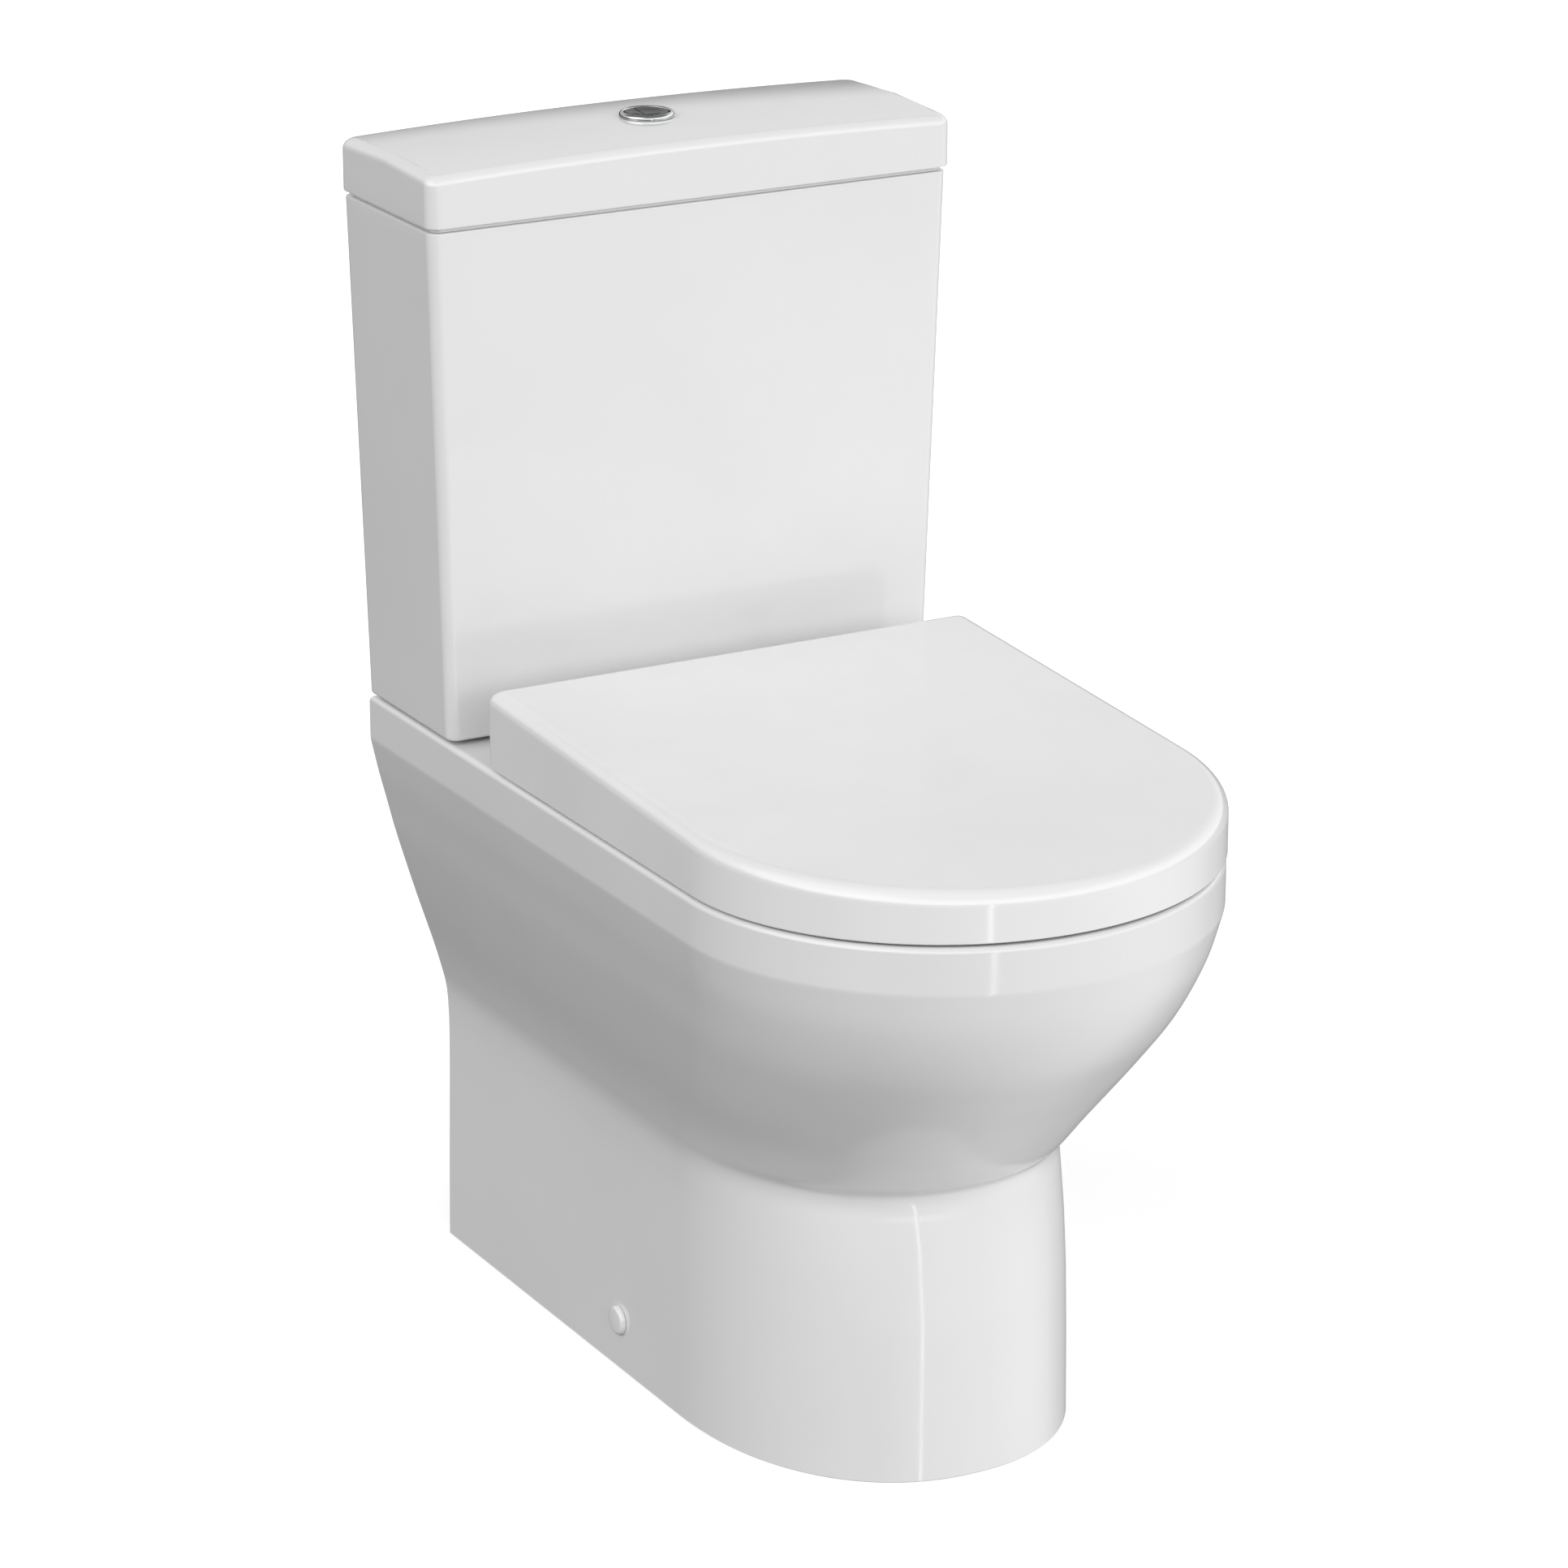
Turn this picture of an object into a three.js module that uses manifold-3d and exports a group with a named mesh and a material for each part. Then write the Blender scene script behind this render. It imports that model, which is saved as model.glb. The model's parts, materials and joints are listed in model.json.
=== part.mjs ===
import * as THREE from 'three';
import { mergeVertices } from 'three/addons/utils/BufferGeometryUtils.js';
import Module from 'manifold-3d';

const wasm = await Module();
wasm.setup();
const { Manifold } = wasm;

// Close coupled toilet, millimetres. Z is up, the front faces -Y, the floor is z = 0
// and the wall is the plane y = WALL_Y.

// Pan
const DEPTH = 635;
const WALL_Y = DEPTH / 2;
const FRONT_Y = -DEPTH / 2;
const PAN_HALF = 180;
const RIM_TOP = 406.5;
const RIM_CREASE = 376;
const RIM_EDGE = 4;
const PAN_WALL = 12;
const DECK = 22;
const DECK_UNDER = RIM_TOP - DECK;
const PAN_FLAT_END = -139.7;

// Cistern and its lid
const TANK_BOTTOM = 409.5;
const TANK_TOP = 755;
const TANK_HALF_BOTTOM = 181.2;
const TANK_HALF_TOP = 191.4;
const TANK_FRONT_BOTTOM = 189.1;
const TANK_FRONT_TOP = 182.5;
const TANK_REAR = 317;
const TANK_WALL = 9;
const TANK_FLOOR = 12;
const TANK_CORNER = 8;
const TANK_INSIDE = TANK_BOTTOM + TANK_FLOOR;
const COVER_HALF = 193;
const COVER_FRONT = 179.8;
const COVER_REAR = 317.5;
const COVER_BOTTOM = 758;
const COVER_EDGE_TOP = 792.5;
const COVER_ROUND = 7;
const COVER_WALL = 11;
const COVER_LIP = 12.5;
const CROWN_ACROSS = 4;
const CROWN_DEEP = 3;

// Axes shared by the fittings
const VALVE_Y = 250;
const BOLT_X = 75;
const INLET_X = 125;
const TRAP_Z = 180;

// Seat
const HINGE_Y = 121.5;
const HINGE_Z = 434;
const HINGE_X = 77.5;
const PIN_R = 3;
const PIN_HOLE_R = 3.1;
const HUB_R = 9;
const SEAT_HALF = 179.8;
const SEAT_REAR = 137;
const SEAT_FLAT_END = -144.5;
const SEAT_TIP = -316;
const SEAT_BOTTOM = 408.5;
const SEAT_TOP_FRONT = 440.8;
const SEAT_TOP_REAR = 462;
const SEAT_ROUND = 10;
const SEAT_WALL = 4;
const SEAT_REAR_CORNER = 6;
const RING_BOTTOM = 412;
const RING_TOP = 428;
const RING_HALF = 172;

// Side fixing of the pan
const FIX_Y = 58.5;
const FIX_Z = 35;
const CAP_R = 10;

// Flush buttons
const BEZEL_R = 18.5;
const BUTTON_R = 14.9;
const BUTTON_TOP = 803;
const ROD_X = 8;
const ROD_END = 728;

// Running gap between neighbouring pieces
const GAP = 0.3;

const china = (r = 0.12) => ({ color: 0xf3f3f1, roughness: r, metalness: 0 });
const whitePlastic = { color: 0xf6f6f4, roughness: 0.2, metalness: 0 };
const valvePlastic = { color: 0xdfe3e6, roughness: 0.45, metalness: 0 };
const bluePlastic = { color: 0x3f6fa5, roughness: 0.45, metalness: 0 };
const greyPlastic = { color: 0x8d9296, roughness: 0.5, metalness: 0 };
const rubber = { color: 0x242424, roughness: 0.85, metalness: 0 };
const chrome = { color: 0xc9ccd0, roughness: 0.1, metalness: 1 };
const steel = { color: 0xb4b6b8, roughness: 0.35, metalness: 1 };
const brass = { color: 0xb99b4f, roughness: 0.35, metalness: 1 };

// Turns a geometry into a closed solid for joining and cutting.
function solid(source) {
  const bare = new THREE.BufferGeometry();
  bare.setAttribute('position', source.getAttribute('position'));
  if (source.index) {
    bare.setIndex(source.index);
  }
  const merged = mergeVertices(bare, 1e-4);
  const at = merged.getAttribute('position');
  const kept = [];
  const list = merged.index.array;
  let volume = 0;
  const a = new THREE.Vector3();
  const b = new THREE.Vector3();
  const c = new THREE.Vector3();
  for (let i = 0; i < list.length; i += 3) {
    const [p, q, r] = [list[i], list[i + 1], list[i + 2]];
    if (p !== q && q !== r && r !== p) {
      kept.push(p, q, r);
      a.fromBufferAttribute(at, p);
      b.fromBufferAttribute(at, q);
      c.fromBufferAttribute(at, r);
      volume += a.dot(b.cross(c));
    }
  }
  if (volume < 0) {
    kept.reverse();
  }
  const mesh = new wasm.Mesh({
    numProp: 3,
    vertProperties: new Float32Array(at.array),
    triVerts: new Uint32Array(kept),
  });
  return new Manifold(mesh);
}

function geometryOf(body) {
  const mesh = body.getMesh();
  const out = new THREE.BufferGeometry();
  out.setAttribute('position', new THREE.BufferAttribute(new Float32Array(mesh.vertProperties), 3));
  out.setIndex([...mesh.triVerts]);
  out.computeVertexNormals();
  return out;
}

const join = (...bodies) => Manifold.union(bodies);

// Skins a stack of outlines. Each outline is one half, and mirror() gives the other half.
// The optional dome(x, y) sets the height of a crowned top.
function stack(halves, mirror, dome = null) {
  const count = halves[0].length;
  const n = 2 * count;
  const points = [];
  const faces = [];
  const quad = (p, q, r, s) => faces.push(p, q, r, p, r, s);
  for (const half of halves) {
    for (const p of half) {
      points.push(...p);
    }
    for (const p of [...half].reverse()) {
      points.push(...mirror(p));
    }
  }
  for (let k = 0; k + 1 < halves.length; k += 1) {
    for (let i = 0; i < n; i += 1) {
      const j = (i + 1) % n;
      quad(k * n + i, k * n + j, (k + 1) * n + j, (k + 1) * n + i);
    }
  }
  const top = (halves.length - 1) * n;
  const rows = dome ? 4 : 1;
  let left = halves.at(-1).map((p, i) => top + i);
  for (let row = 1; row <= rows; row += 1) {
    let right = halves.at(-1).map((p, i) => top + n - 1 - i);
    if (row < rows) {
      right = halves.at(-1).map((p) => {
        const far = mirror(p);
        const x = p[0] + (far[0] - p[0]) * (row / rows);
        const y = p[1] + (far[1] - p[1]) * (row / rows);
        points.push(x, y, dome(x, y));
        return points.length / 3 - 1;
      });
    }
    for (let i = 0; i + 1 < count; i += 1) {
      quad(left[i], left[i + 1], right[i + 1], right[i]);
    }
    left = right;
  }
  for (let i = 0; i + 1 < count; i += 1) {
    quad(i, n - 1 - i, n - 2 - i, i + 1);
  }
  const out = new THREE.BufferGeometry();
  out.setAttribute('position', new THREE.Float32BufferAttribute(points, 3));
  out.setIndex(faces);
  return solid(out);
}

const mirrorX = ([x, y, z]) => [-x, y, z];

// Left half of a D-shaped outline, from the middle of its rear edge to its front tip.
function dHalf({ w, rear, flat, tip, n = 2, corner = 0, z, steps = 14 }) {
  const half = [[0, rear]];
  for (let i = 0; i <= 4; i += 1) {
    const a = (Math.PI / 2) * (i / 4);
    half.push([-(w - corner) - corner * Math.sin(a), rear - corner + corner * Math.cos(a)]);
  }
  for (let i = 0; i <= steps; i += 1) {
    const t = (Math.PI / 2) * (i / steps);
    const x = -w * Math.cos(t) ** (2 / n);
    half.push([x, flat - (flat - tip) * Math.sin(t) ** (2 / n)]);
  }
  return half.map(([x, y]) => [x, y, typeof z === 'function' ? z(x, y) : z]);
}

// Front half of a rectangle with rounded corners, from its left side to its right side.
function boxHalf({ w, front, rear, corner, z }, steps = 4) {
  const middle = (front + rear) / 2;
  const half = [[-w, middle]];
  for (let i = 0; i <= steps; i += 1) {
    const a = (Math.PI / 2) * (i / steps);
    half.push([-w + corner - corner * Math.cos(a), front + corner - corner * Math.sin(a)]);
  }
  const across = 6;
  for (let i = 1; i < across; i += 1) {
    half.push([(-w + corner) + (2 * (w - corner) * i) / across, front]);
  }
  for (let i = 0; i <= steps; i += 1) {
    const a = (Math.PI / 2) * (i / steps);
    half.push([w - corner + corner * Math.sin(a), front + corner - corner * Math.cos(a)]);
  }
  half.push([w, middle]);
  return half.map(([x, y]) => [x, y, typeof z === 'function' ? z(x, y) : z]);
}

// Smooth values between stations, one curve through each column.
function between(stations, z) {
  let k = 0;
  while (k + 2 < stations.length && z > stations[k + 1][0]) {
    k += 1;
  }
  const slope = (i, col) => {
    const rise = (m) => (stations[m + 1][col] - stations[m][col]) / (stations[m + 1][0] - stations[m][0]);
    if (i === 0) {
      return rise(0);
    }
    if (i === stations.length - 1) {
      return rise(i - 1);
    }
    const [before, after] = [rise(i - 1), rise(i)];
    return before * after <= 0 ? 0 : (2 * before * after) / (before + after);
  };
  const [lo, hi] = [stations[k], stations[k + 1]];
  const span = hi[0] - lo[0];
  const t = (z - lo[0]) / span;
  return lo.map((low, col) => {
    const a = (2 * t ** 3 - 3 * t ** 2 + 1) * low;
    const b = (t ** 3 - 2 * t ** 2 + t) * span * slope(k, col);
    const c = (3 * t ** 2 - 2 * t ** 3) * hi[col];
    const d = (t ** 3 - t ** 2) * span * slope(k + 1, col);
    return a + b + c + d;
  });
}

function box(x0, x1, y0, y1, z0, z1) {
  const shape = new THREE.BoxGeometry(x1 - x0, y1 - y0, z1 - z0);
  shape.translate((x0 + x1) / 2, (y0 + y1) / 2, (z0 + z1) / 2);
  return solid(shape);
}

function rod(r, z0, z1, x, y, sides = 18) {
  const shape = new THREE.CylinderGeometry(r, r, z1 - z0, sides);
  shape.rotateX(Math.PI / 2);
  shape.translate(x, y, (z0 + z1) / 2);
  return solid(shape);
}

function rodX(r, x0, x1, y, z, sides = 18) {
  const shape = new THREE.CylinderGeometry(r, r, Math.abs(x1 - x0), sides);
  shape.rotateZ(Math.PI / 2);
  shape.translate((x0 + x1) / 2, y, z);
  return solid(shape);
}

function rodY(r, y0, y1, x, z, sides = 14) {
  const shape = new THREE.CylinderGeometry(r, r, y1 - y0, sides);
  shape.translate(x, (y0 + y1) / 2, z);
  return solid(shape);
}

// Turned piece standing on Z. The profile lists radius and height pairs.
function turned(profile, x, y, sides = 20) {
  const shape = new THREE.LatheGeometry(profile.map(([r, z]) => new THREE.Vector2(r, z)), sides);
  shape.rotateX(Math.PI / 2);
  shape.translate(x, y, 0);
  return solid(shape);
}

const washer = (inner, outer, z0, z1, x, y, sides = 16) => turned(
  [[inner, z0], [outer, z0], [outer, z1], [inner, z1], [inner, z0]],
  x,
  y,
  sides,
);

// Round bar along a curve in the plane x = 0.
function pipe(radius, path, steps) {
  const curve = new THREE.CatmullRomCurve3(path.map(([y, z]) => new THREE.Vector3(0, y, z)));
  const disc = new THREE.Shape();
  for (let i = 0; i < 14; i += 1) {
    const a = (Math.PI * 2 * i) / 14;
    const [u, v] = [radius * Math.cos(a), radius * Math.sin(a)];
    if (i === 0) {
      disc.moveTo(u, v);
    } else {
      disc.lineTo(u, v);
    }
  }
  return solid(new THREE.ExtrudeGeometry(disc, { steps, extrudePath: curve }));
}

// Flat outline in the Y-Z plane, extruded from x0 to x1.
function slabYZ(outline, x0, x1) {
  const shape = new THREE.Shape(outline.map(([y, z]) => new THREE.Vector2(y, z)));
  const out = new THREE.ExtrudeGeometry(shape, { depth: x1 - x0, bevelEnabled: false });
  out.rotateX(Math.PI / 2);
  out.rotateZ(Math.PI / 2);
  out.translate(x0, 0, 0);
  return solid(out);
}

// Pan outside: height, half width, end of the straight side, front tip, fullness of the front.
const PAN_SKIN = [
  [0, 127.8, -24.5, -195.8, 2.2],
  [45, 127.1, -24.5, -195.8, 2.2],
  [99, 126, -24.5, -195, 2.2],
  [134, 125.3, -24.5, -192, 2.2],
  [156, 125.1, -24.5, -189, 2.18],
  [174, 125.6, -24.5, -185, 2.15],
  [184, 126.4, -24.5, -182.8, 2.12],
  [192, 127.8, -26, -184.5, 2.08],
  [202, 130.4, -32, -196, 2.05],
  [212, 133.2, -39, -206, 2.03],
  [226, 137.5, -50.5, -218.5, 2.01],
  [254, 146.7, -76.5, -243, 2],
  [281, 155.1, -97.5, -266.6, 2],
  [309, 163.4, -116.5, -289.2, 2],
  [333, 169.6, -128.5, -303.5, 2],
  [351, 174.3, -135, -311, 2],
  [RIM_CREASE, PAN_HALF, PAN_FLAT_END, FRONT_Y, 2],
];

function panOutline(z, inset, rear, steps = 14) {
  const [, w, flat, tip, n] = between(PAN_SKIN, Math.min(z, RIM_CREASE));
  return dHalf({ w: w - inset, rear, flat, tip: tip + inset, n, z, steps });
}

function panSkin() {
  const halves = [];
  for (let k = 0; k + 1 < PAN_SKIN.length; k += 1) {
    halves.push(panOutline(PAN_SKIN[k][0], 0, WALL_Y));
    const gap = PAN_SKIN[k + 1][0] - PAN_SKIN[k][0];
    if (gap > 40) {
      halves.push(panOutline(PAN_SKIN[k][0] + gap / 2, 0, WALL_Y));
    }
  }
  halves.push(panOutline(RIM_CREASE, 0, WALL_Y));
  for (let i = 0; i <= 4; i += 1) {
    const a = (Math.PI / 2) * (i / 4);
    const inset = RIM_EDGE * (1 - Math.cos(a));
    const z = RIM_TOP - RIM_EDGE + RIM_EDGE * Math.sin(a);
    halves.push(panOutline(z, inset, WALL_Y - inset));
  }
  return stack(halves, mirrorX);
}

function panHollow() {
  const halves = [];
  for (const z of [-1, 120, 170, 200, 226, 260, 300, 345, DECK_UNDER]) {
    halves.push(panOutline(z, PAN_WALL, WALL_Y + 12, 9));
  }
  return stack(halves, mirrorX);
}

// Basin: height, half width, rear, front tip.
const BASIN = [
  [105, 28, -36, -90],
  [112, 38, -26, -102],
  [150, 46, -14, -118],
  [190, 54, -6, -140],
  [230, 72, 8, -176],
  [270, 92, 26, -216],
  [310, 107, 40, -244],
  [350, 116, 48, -259],
  [400, 118, 50, -262],
  [RIM_TOP + 0.5, 122, 54, -266],
];

function basin(grow) {
  const heightOf = (z, i) => {
    if (i === 0) {
      return z - grow;
    }
    return i === BASIN.length - 1 && grow > 0 ? RIM_TOP - 3 : z;
  };
  const halves = BASIN.map(([z, w, rear, tip], i) => dHalf({
    w: w + grow,
    rear: rear + grow,
    flat: (rear + tip) / 2,
    tip: tip - grow,
    corner: (w + grow) * 0.7,
    z: heightOf(z, i),
    steps: grow > 0 ? 7 : 10,
  }));
  return stack(halves, mirrorX);
}

const TRAP_PATH = [
  [-64, 146], [0, 146], [45, 172], [80, 226], [125, 268], [165, 262],
  [200, 222], [240, 187], [275, TRAP_Z], [300, TRAP_Z],
];
const FLUSH_PATH = [[VALVE_Y, 384], [VALVE_Y - 4, 362], [VALVE_Y - 34, 346], [150, 345], [34, 352]];

function makePan() {
  let body = panSkin().subtract(panHollow());
  const boss = rod(58, 366, DECK_UNDER + 1, 0, VALVE_Y, 28);
  const channel = pipe(34, FLUSH_PATH, 6);
  body = join(body, basin(10), pipe(45, TRAP_PATH, 12), channel, boss);
  body = body.subtract(basin(0));
  body = body.subtract(pipe(36, [...TRAP_PATH, [312, TRAP_Z]], 13));
  const flushBore = [[VALVE_Y, 396], ...FLUSH_PATH.slice(1, 4), [20, 352]];
  body = body.subtract(pipe(26, flushBore, 7));
  const recess = rod(50, DECK_UNDER - 2, RIM_TOP + 1, 0, VALVE_Y, 28);
  body = body.subtract(recess);
  for (const side of [-1, 1]) {
    body = body.subtract(rod(7, DECK_UNDER - 1, RIM_TOP + 1, side * BOLT_X, VALVE_Y, 14));
    body = body.subtract(rod(22, DECK_UNDER - 1, RIM_TOP + 1, side * INLET_X, VALVE_Y, 20));
    body = body.subtract(rod(6, DECK_UNDER - 1, RIM_TOP + 1, side * HINGE_X, HINGE_Y - 15, 14));
    const wall = [side * (PAN_HALF - 80), side * (PAN_HALF - 20)].sort((p, q) => p - q);
    body = body.subtract(rodX(4, wall[0], wall[1], FIX_Y, FIX_Z, 16));
  }
  return body;
}

function tankOutline(z, inset) {
  const t = (z - TANK_BOTTOM) / (TANK_TOP - TANK_BOTTOM);
  return boxHalf({
    w: TANK_HALF_BOTTOM + (TANK_HALF_TOP - TANK_HALF_BOTTOM) * t - inset,
    front: TANK_FRONT_BOTTOM + (TANK_FRONT_TOP - TANK_FRONT_BOTTOM) * t + inset,
    rear: TANK_REAR - inset,
    corner: Math.max(TANK_CORNER - inset, 3),
    z,
  });
}

// The middle line of the cistern, which leans because its front does.
const mirrorTank = ([x, y, z]) => {
  const t = (z - TANK_BOTTOM) / (TANK_TOP - TANK_BOTTOM);
  const front = TANK_FRONT_BOTTOM + (TANK_FRONT_TOP - TANK_FRONT_BOTTOM) * t;
  return [x, front + TANK_REAR - y, z];
};

function makeTank() {
  const floor = TANK_INSIDE;
  const foot = 2.5;
  const outside = [
    tankOutline(TANK_BOTTOM, foot),
    tankOutline(TANK_BOTTOM + 0.8, 0.8),
    tankOutline(TANK_BOTTOM + foot, 0),
    tankOutline(TANK_TOP, 0),
  ];
  const inside = [
    tankOutline(floor, TANK_WALL + 6),
    tankOutline(floor + 8, TANK_WALL),
    tankOutline(TANK_TOP + 1, TANK_WALL),
  ];
  let body = stack(outside, mirrorTank).subtract(stack(inside, mirrorTank));
  body = body.subtract(rod(31.5, TANK_BOTTOM - 1, floor + 1, 0, VALVE_Y, 28));
  body = body.subtract(rod(11, TANK_BOTTOM - 1, floor + 1, INLET_X, VALVE_Y, 24));
  for (const side of [-1, 1]) {
    body = body.subtract(rod(5.5, TANK_BOTTOM - 1, floor + 1, side * BOLT_X, VALVE_Y, 14));
  }
  return body;
}

const COVER_MID = (COVER_FRONT + COVER_REAR) / 2;

// Height of the crowned lid top above its edge line.
function crown(x, y) {
  const across = CROWN_ACROSS * (1 - (x / COVER_HALF) ** 2);
  const deep = CROWN_DEEP * (1 - ((y - COVER_MID) / (COVER_REAR - COVER_MID)) ** 2);
  return COVER_EDGE_TOP + across + deep;
}

function coverOutline(inset, z) {
  return boxHalf({
    w: COVER_HALF - inset,
    front: COVER_FRONT + inset,
    rear: COVER_REAR - inset,
    corner: Math.max(9 - inset * 0.5, 3),
    z,
  });
}

const mirrorCover = ([x, y, z]) => [x, 2 * COVER_MID - y, z];

function makeCover() {
  const outside = [coverOutline(0.8, COVER_BOTTOM), coverOutline(0, COVER_BOTTOM + 1)];
  for (let i = 0; i <= 4; i += 1) {
    const a = (Math.PI / 2) * (i / 4);
    const inset = COVER_ROUND * (1 - Math.cos(a));
    const drop = COVER_ROUND * (1 - Math.sin(a));
    outside.push(coverOutline(inset, (x, y) => crown(x, y) - drop));
  }
  let body = stack(outside, mirrorCover, crown);
  const under = COVER_EDGE_TOP - COVER_WALL;
  // Rim that rests on the cistern wall, set back from the lid's edge.
  const rim = [coverOutline(5, TANK_TOP + GAP), coverOutline(5, COVER_BOTTOM + 2)];
  body = join(body, stack(rim, mirrorCover));
  // Lip that drops inside the cistern and locates the lid.
  const lip = [coverOutline(COVER_LIP, TANK_TOP - 7), coverOutline(COVER_LIP, COVER_BOTTOM + 2)];
  body = join(body, stack(lip, mirrorCover));
  const opening = [coverOutline(17, TANK_TOP - 9), coverOutline(17, under - 4), coverOutline(22, under)];
  body = body.subtract(stack(opening, mirrorCover));
  return body.subtract(rod(17, under - 2, COVER_EDGE_TOP + 12, 0, VALVE_Y, 28));
}

const LID_TOP = COVER_EDGE_TOP + CROWN_ACROSS + CROWN_DEEP;

function makeBezel() {
  const body = turned([
    [0, 768], [16.6, 768], [16.6, LID_TOP + GAP], [BEZEL_R, LID_TOP + GAP],
    [BEZEL_R, LID_TOP + 1.6], [BEZEL_R - 1, LID_TOP + 3], [BEZEL_R - 2.2, LID_TOP + 3.4],
    [15.3, LID_TOP + 2.4], [15.3, 771], [0, 771],
  ], 0, VALVE_Y, 36);
  const holes = join(rod(3.1, 760, 780, -ROD_X, VALVE_Y), rod(3.1, 760, 780, ROD_X, VALVE_Y));
  return body.subtract(holes);
}

// One part of the split button with its push rod. side is +1 for full and -1 for half.
function makeButton(side) {
  const split = -3;
  const dome = turned([
    [0, 781], [BUTTON_R, 781], [BUTTON_R, BUTTON_TOP - 1.6], [BUTTON_R - 0.9, BUTTON_TOP - 0.5],
    [BUTTON_R - 3, BUTTON_TOP], [0, BUTTON_TOP],
  ], 0, VALVE_Y, 36);
  const edge = split + side * 0.35;
  const far = edge + side * 60;
  const keep = box(Math.min(edge, far), Math.max(edge, far), VALVE_Y - 40, VALVE_Y + 40, 770, 820);
  const part = dome.intersect(keep);
  return join(part, rod(2.4, ROD_END, 784, side * ROD_X, VALVE_Y, 16));
}

const TAIL_END = 386;
const SEAT_Z = 434;
const BRIDGE_Z = 724;
const ROCKER_X = 30;

function makeValveBody() {
  let body = turned([
    [24, TAIL_END], [30, TAIL_END], [30, 427], [44, 427], [44, 432], [27, 432], [26, SEAT_Z],
    [24, SEAT_Z], [24, TAIL_END],
  ], 0, VALVE_Y, 28);
  body = join(body, washer(17, 40, 520, 526, 0, VALVE_Y, 28));
  for (const [sx, sy] of [[1, 1], [1, -1], [-1, 1], [-1, -1]]) {
    const post = box(-3, 3, -2, 2, 431, 521).rotate([0, 0, sx * sy * 45 - 90]);
    body = join(body, post.translate([sx * 26, VALVE_Y + sy * 26, 0]));
  }
  for (const side of [-1, 1]) {
    const y0 = Math.min(side * 17.2, side * 20.2) + VALVE_Y;
    body = join(body, box(-8, 8, y0, y0 + 3, 525, 730));
    body = join(body, box(-38, 38, y0, y0 + 3, 714, 734));
  }
  for (const x of [-ROCKER_X, ROCKER_X]) {
    body = body.subtract(rodY(2.3, VALVE_Y - 30, VALVE_Y + 30, x, BRIDGE_Z));
  }
  return body;
}

// Hook that a rocker's tail lifts, on the side given, with its leg down to z0.
function hook(side, z0) {
  const leg = [side * 57, side * 62].sort((p, q) => p - q);
  const arm = [side * 47, side * 62].sort((p, q) => p - q);
  return join(
    box(leg[0], leg[1], VALVE_Y - 3, VALVE_Y + 3, z0, 733),
    box(arm[0], arm[1], VALVE_Y - 3, VALVE_Y + 3, 728, 733),
  );
}

function makePlunger() {
  const tube = rod(14, 437, 690, 0, VALVE_Y, 24);
  const disc = rod(29, 437, 441, 0, VALVE_Y, 28);
  const arm = box(0, 62, VALVE_Y - 4, VALVE_Y + 4, 676, 684);
  return join(tube, disc, arm, hook(1, 680)).subtract(rod(11, 430, 700, 0, VALVE_Y, 24));
}

function makeHalfFloat() {
  return join(box(-66, -44, VALVE_Y - 13, VALVE_Y + 13, 570, 620), hook(-1, 618));
}

// Rocker that turns a button's push down into a lift. side is +1 for full and -1 for half.
function makeRocker(side) {
  const inner = side * (ROCKER_X - 25);
  const outer = side * (ROCKER_X + 24);
  const bar = box(
    Math.min(inner, outer),
    Math.max(inner, outer),
    VALVE_Y - 4,
    VALVE_Y + 4,
    BRIDGE_Z - 3,
    BRIDGE_Z + 3,
  );
  const hub = rodY(5, VALVE_Y - 16.5, VALVE_Y + 16.5, side * ROCKER_X, BRIDGE_Z);
  const hole = rodY(2.1, VALVE_Y - 30, VALVE_Y + 30, side * ROCKER_X, BRIDGE_Z);
  return join(bar, hub).subtract(hole);
}

function makeInletValve() {
  const turnedBody = turned([
    [0, 402], [6, 402], [6, 372], [10, 372], [10, 426.9], [17, 426.9], [17, 431], [9, 431],
    [9, 640], [16, 640], [16, 672], [0, 672],
  ], INLET_X, VALVE_Y, 18);
  const x = INLET_X + 10;
  let lugs = box(x - 4, x + 4, VALVE_Y - 9, VALVE_Y - 6, 671, 684);
  lugs = join(lugs, box(x - 4, x + 4, VALVE_Y + 6, VALVE_Y + 9, 671, 684));
  return join(turnedBody, lugs).subtract(rodY(1.8, VALVE_Y - 20, VALVE_Y + 20, x, 679, 16));
}

function makeFloatCup() {
  const cup = turned([
    [11.5, 575], [33, 575], [33, 625], [30, 625], [30, 579], [14.5, 579], [14.5, 622],
    [11.5, 622], [11.5, 575],
  ], INLET_X, VALVE_Y, 18);
  const lug = box(INLET_X - 31, INLET_X - 25, VALVE_Y - 3, VALVE_Y + 3, 577, 612);
  return join(cup, lug, rod(2, 600, 675, INLET_X - 28, VALVE_Y, 16));
}

function makeFloatLever() {
  const x = INLET_X + 10;
  const bar = box(INLET_X - 32, x + 2, VALVE_Y - 5, VALVE_Y + 5, 677, 681);
  const hub = rodY(4, VALVE_Y - 5.5, VALVE_Y + 5.5, x, 679);
  return join(bar, hub).subtract(rodY(1.7, VALVE_Y - 20, VALVE_Y + 20, x, 679, 16));
}

function wingNut(x, y, z0, z1, bore, reach) {
  let body = turned([[bore, z0], [8, z0], [8, z1], [bore, z1], [bore, z0]], x, y, 14);
  for (const side of [-1, 1]) {
    const near = x + side * 6.5;
    const far = x + side * reach;
    body = join(body, box(Math.min(near, far), Math.max(near, far), y - 1.5, y + 1.5, z0, z1 - 1));
  }
  return body;
}

function hexBolt(x, y, headBase, headHeight, headR, shankR, end) {
  const head = rod(headR, headBase, headBase + headHeight, x, y, 6);
  return join(head, rod(shankR, end, headBase + 0.5, x, y, 14));
}

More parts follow.
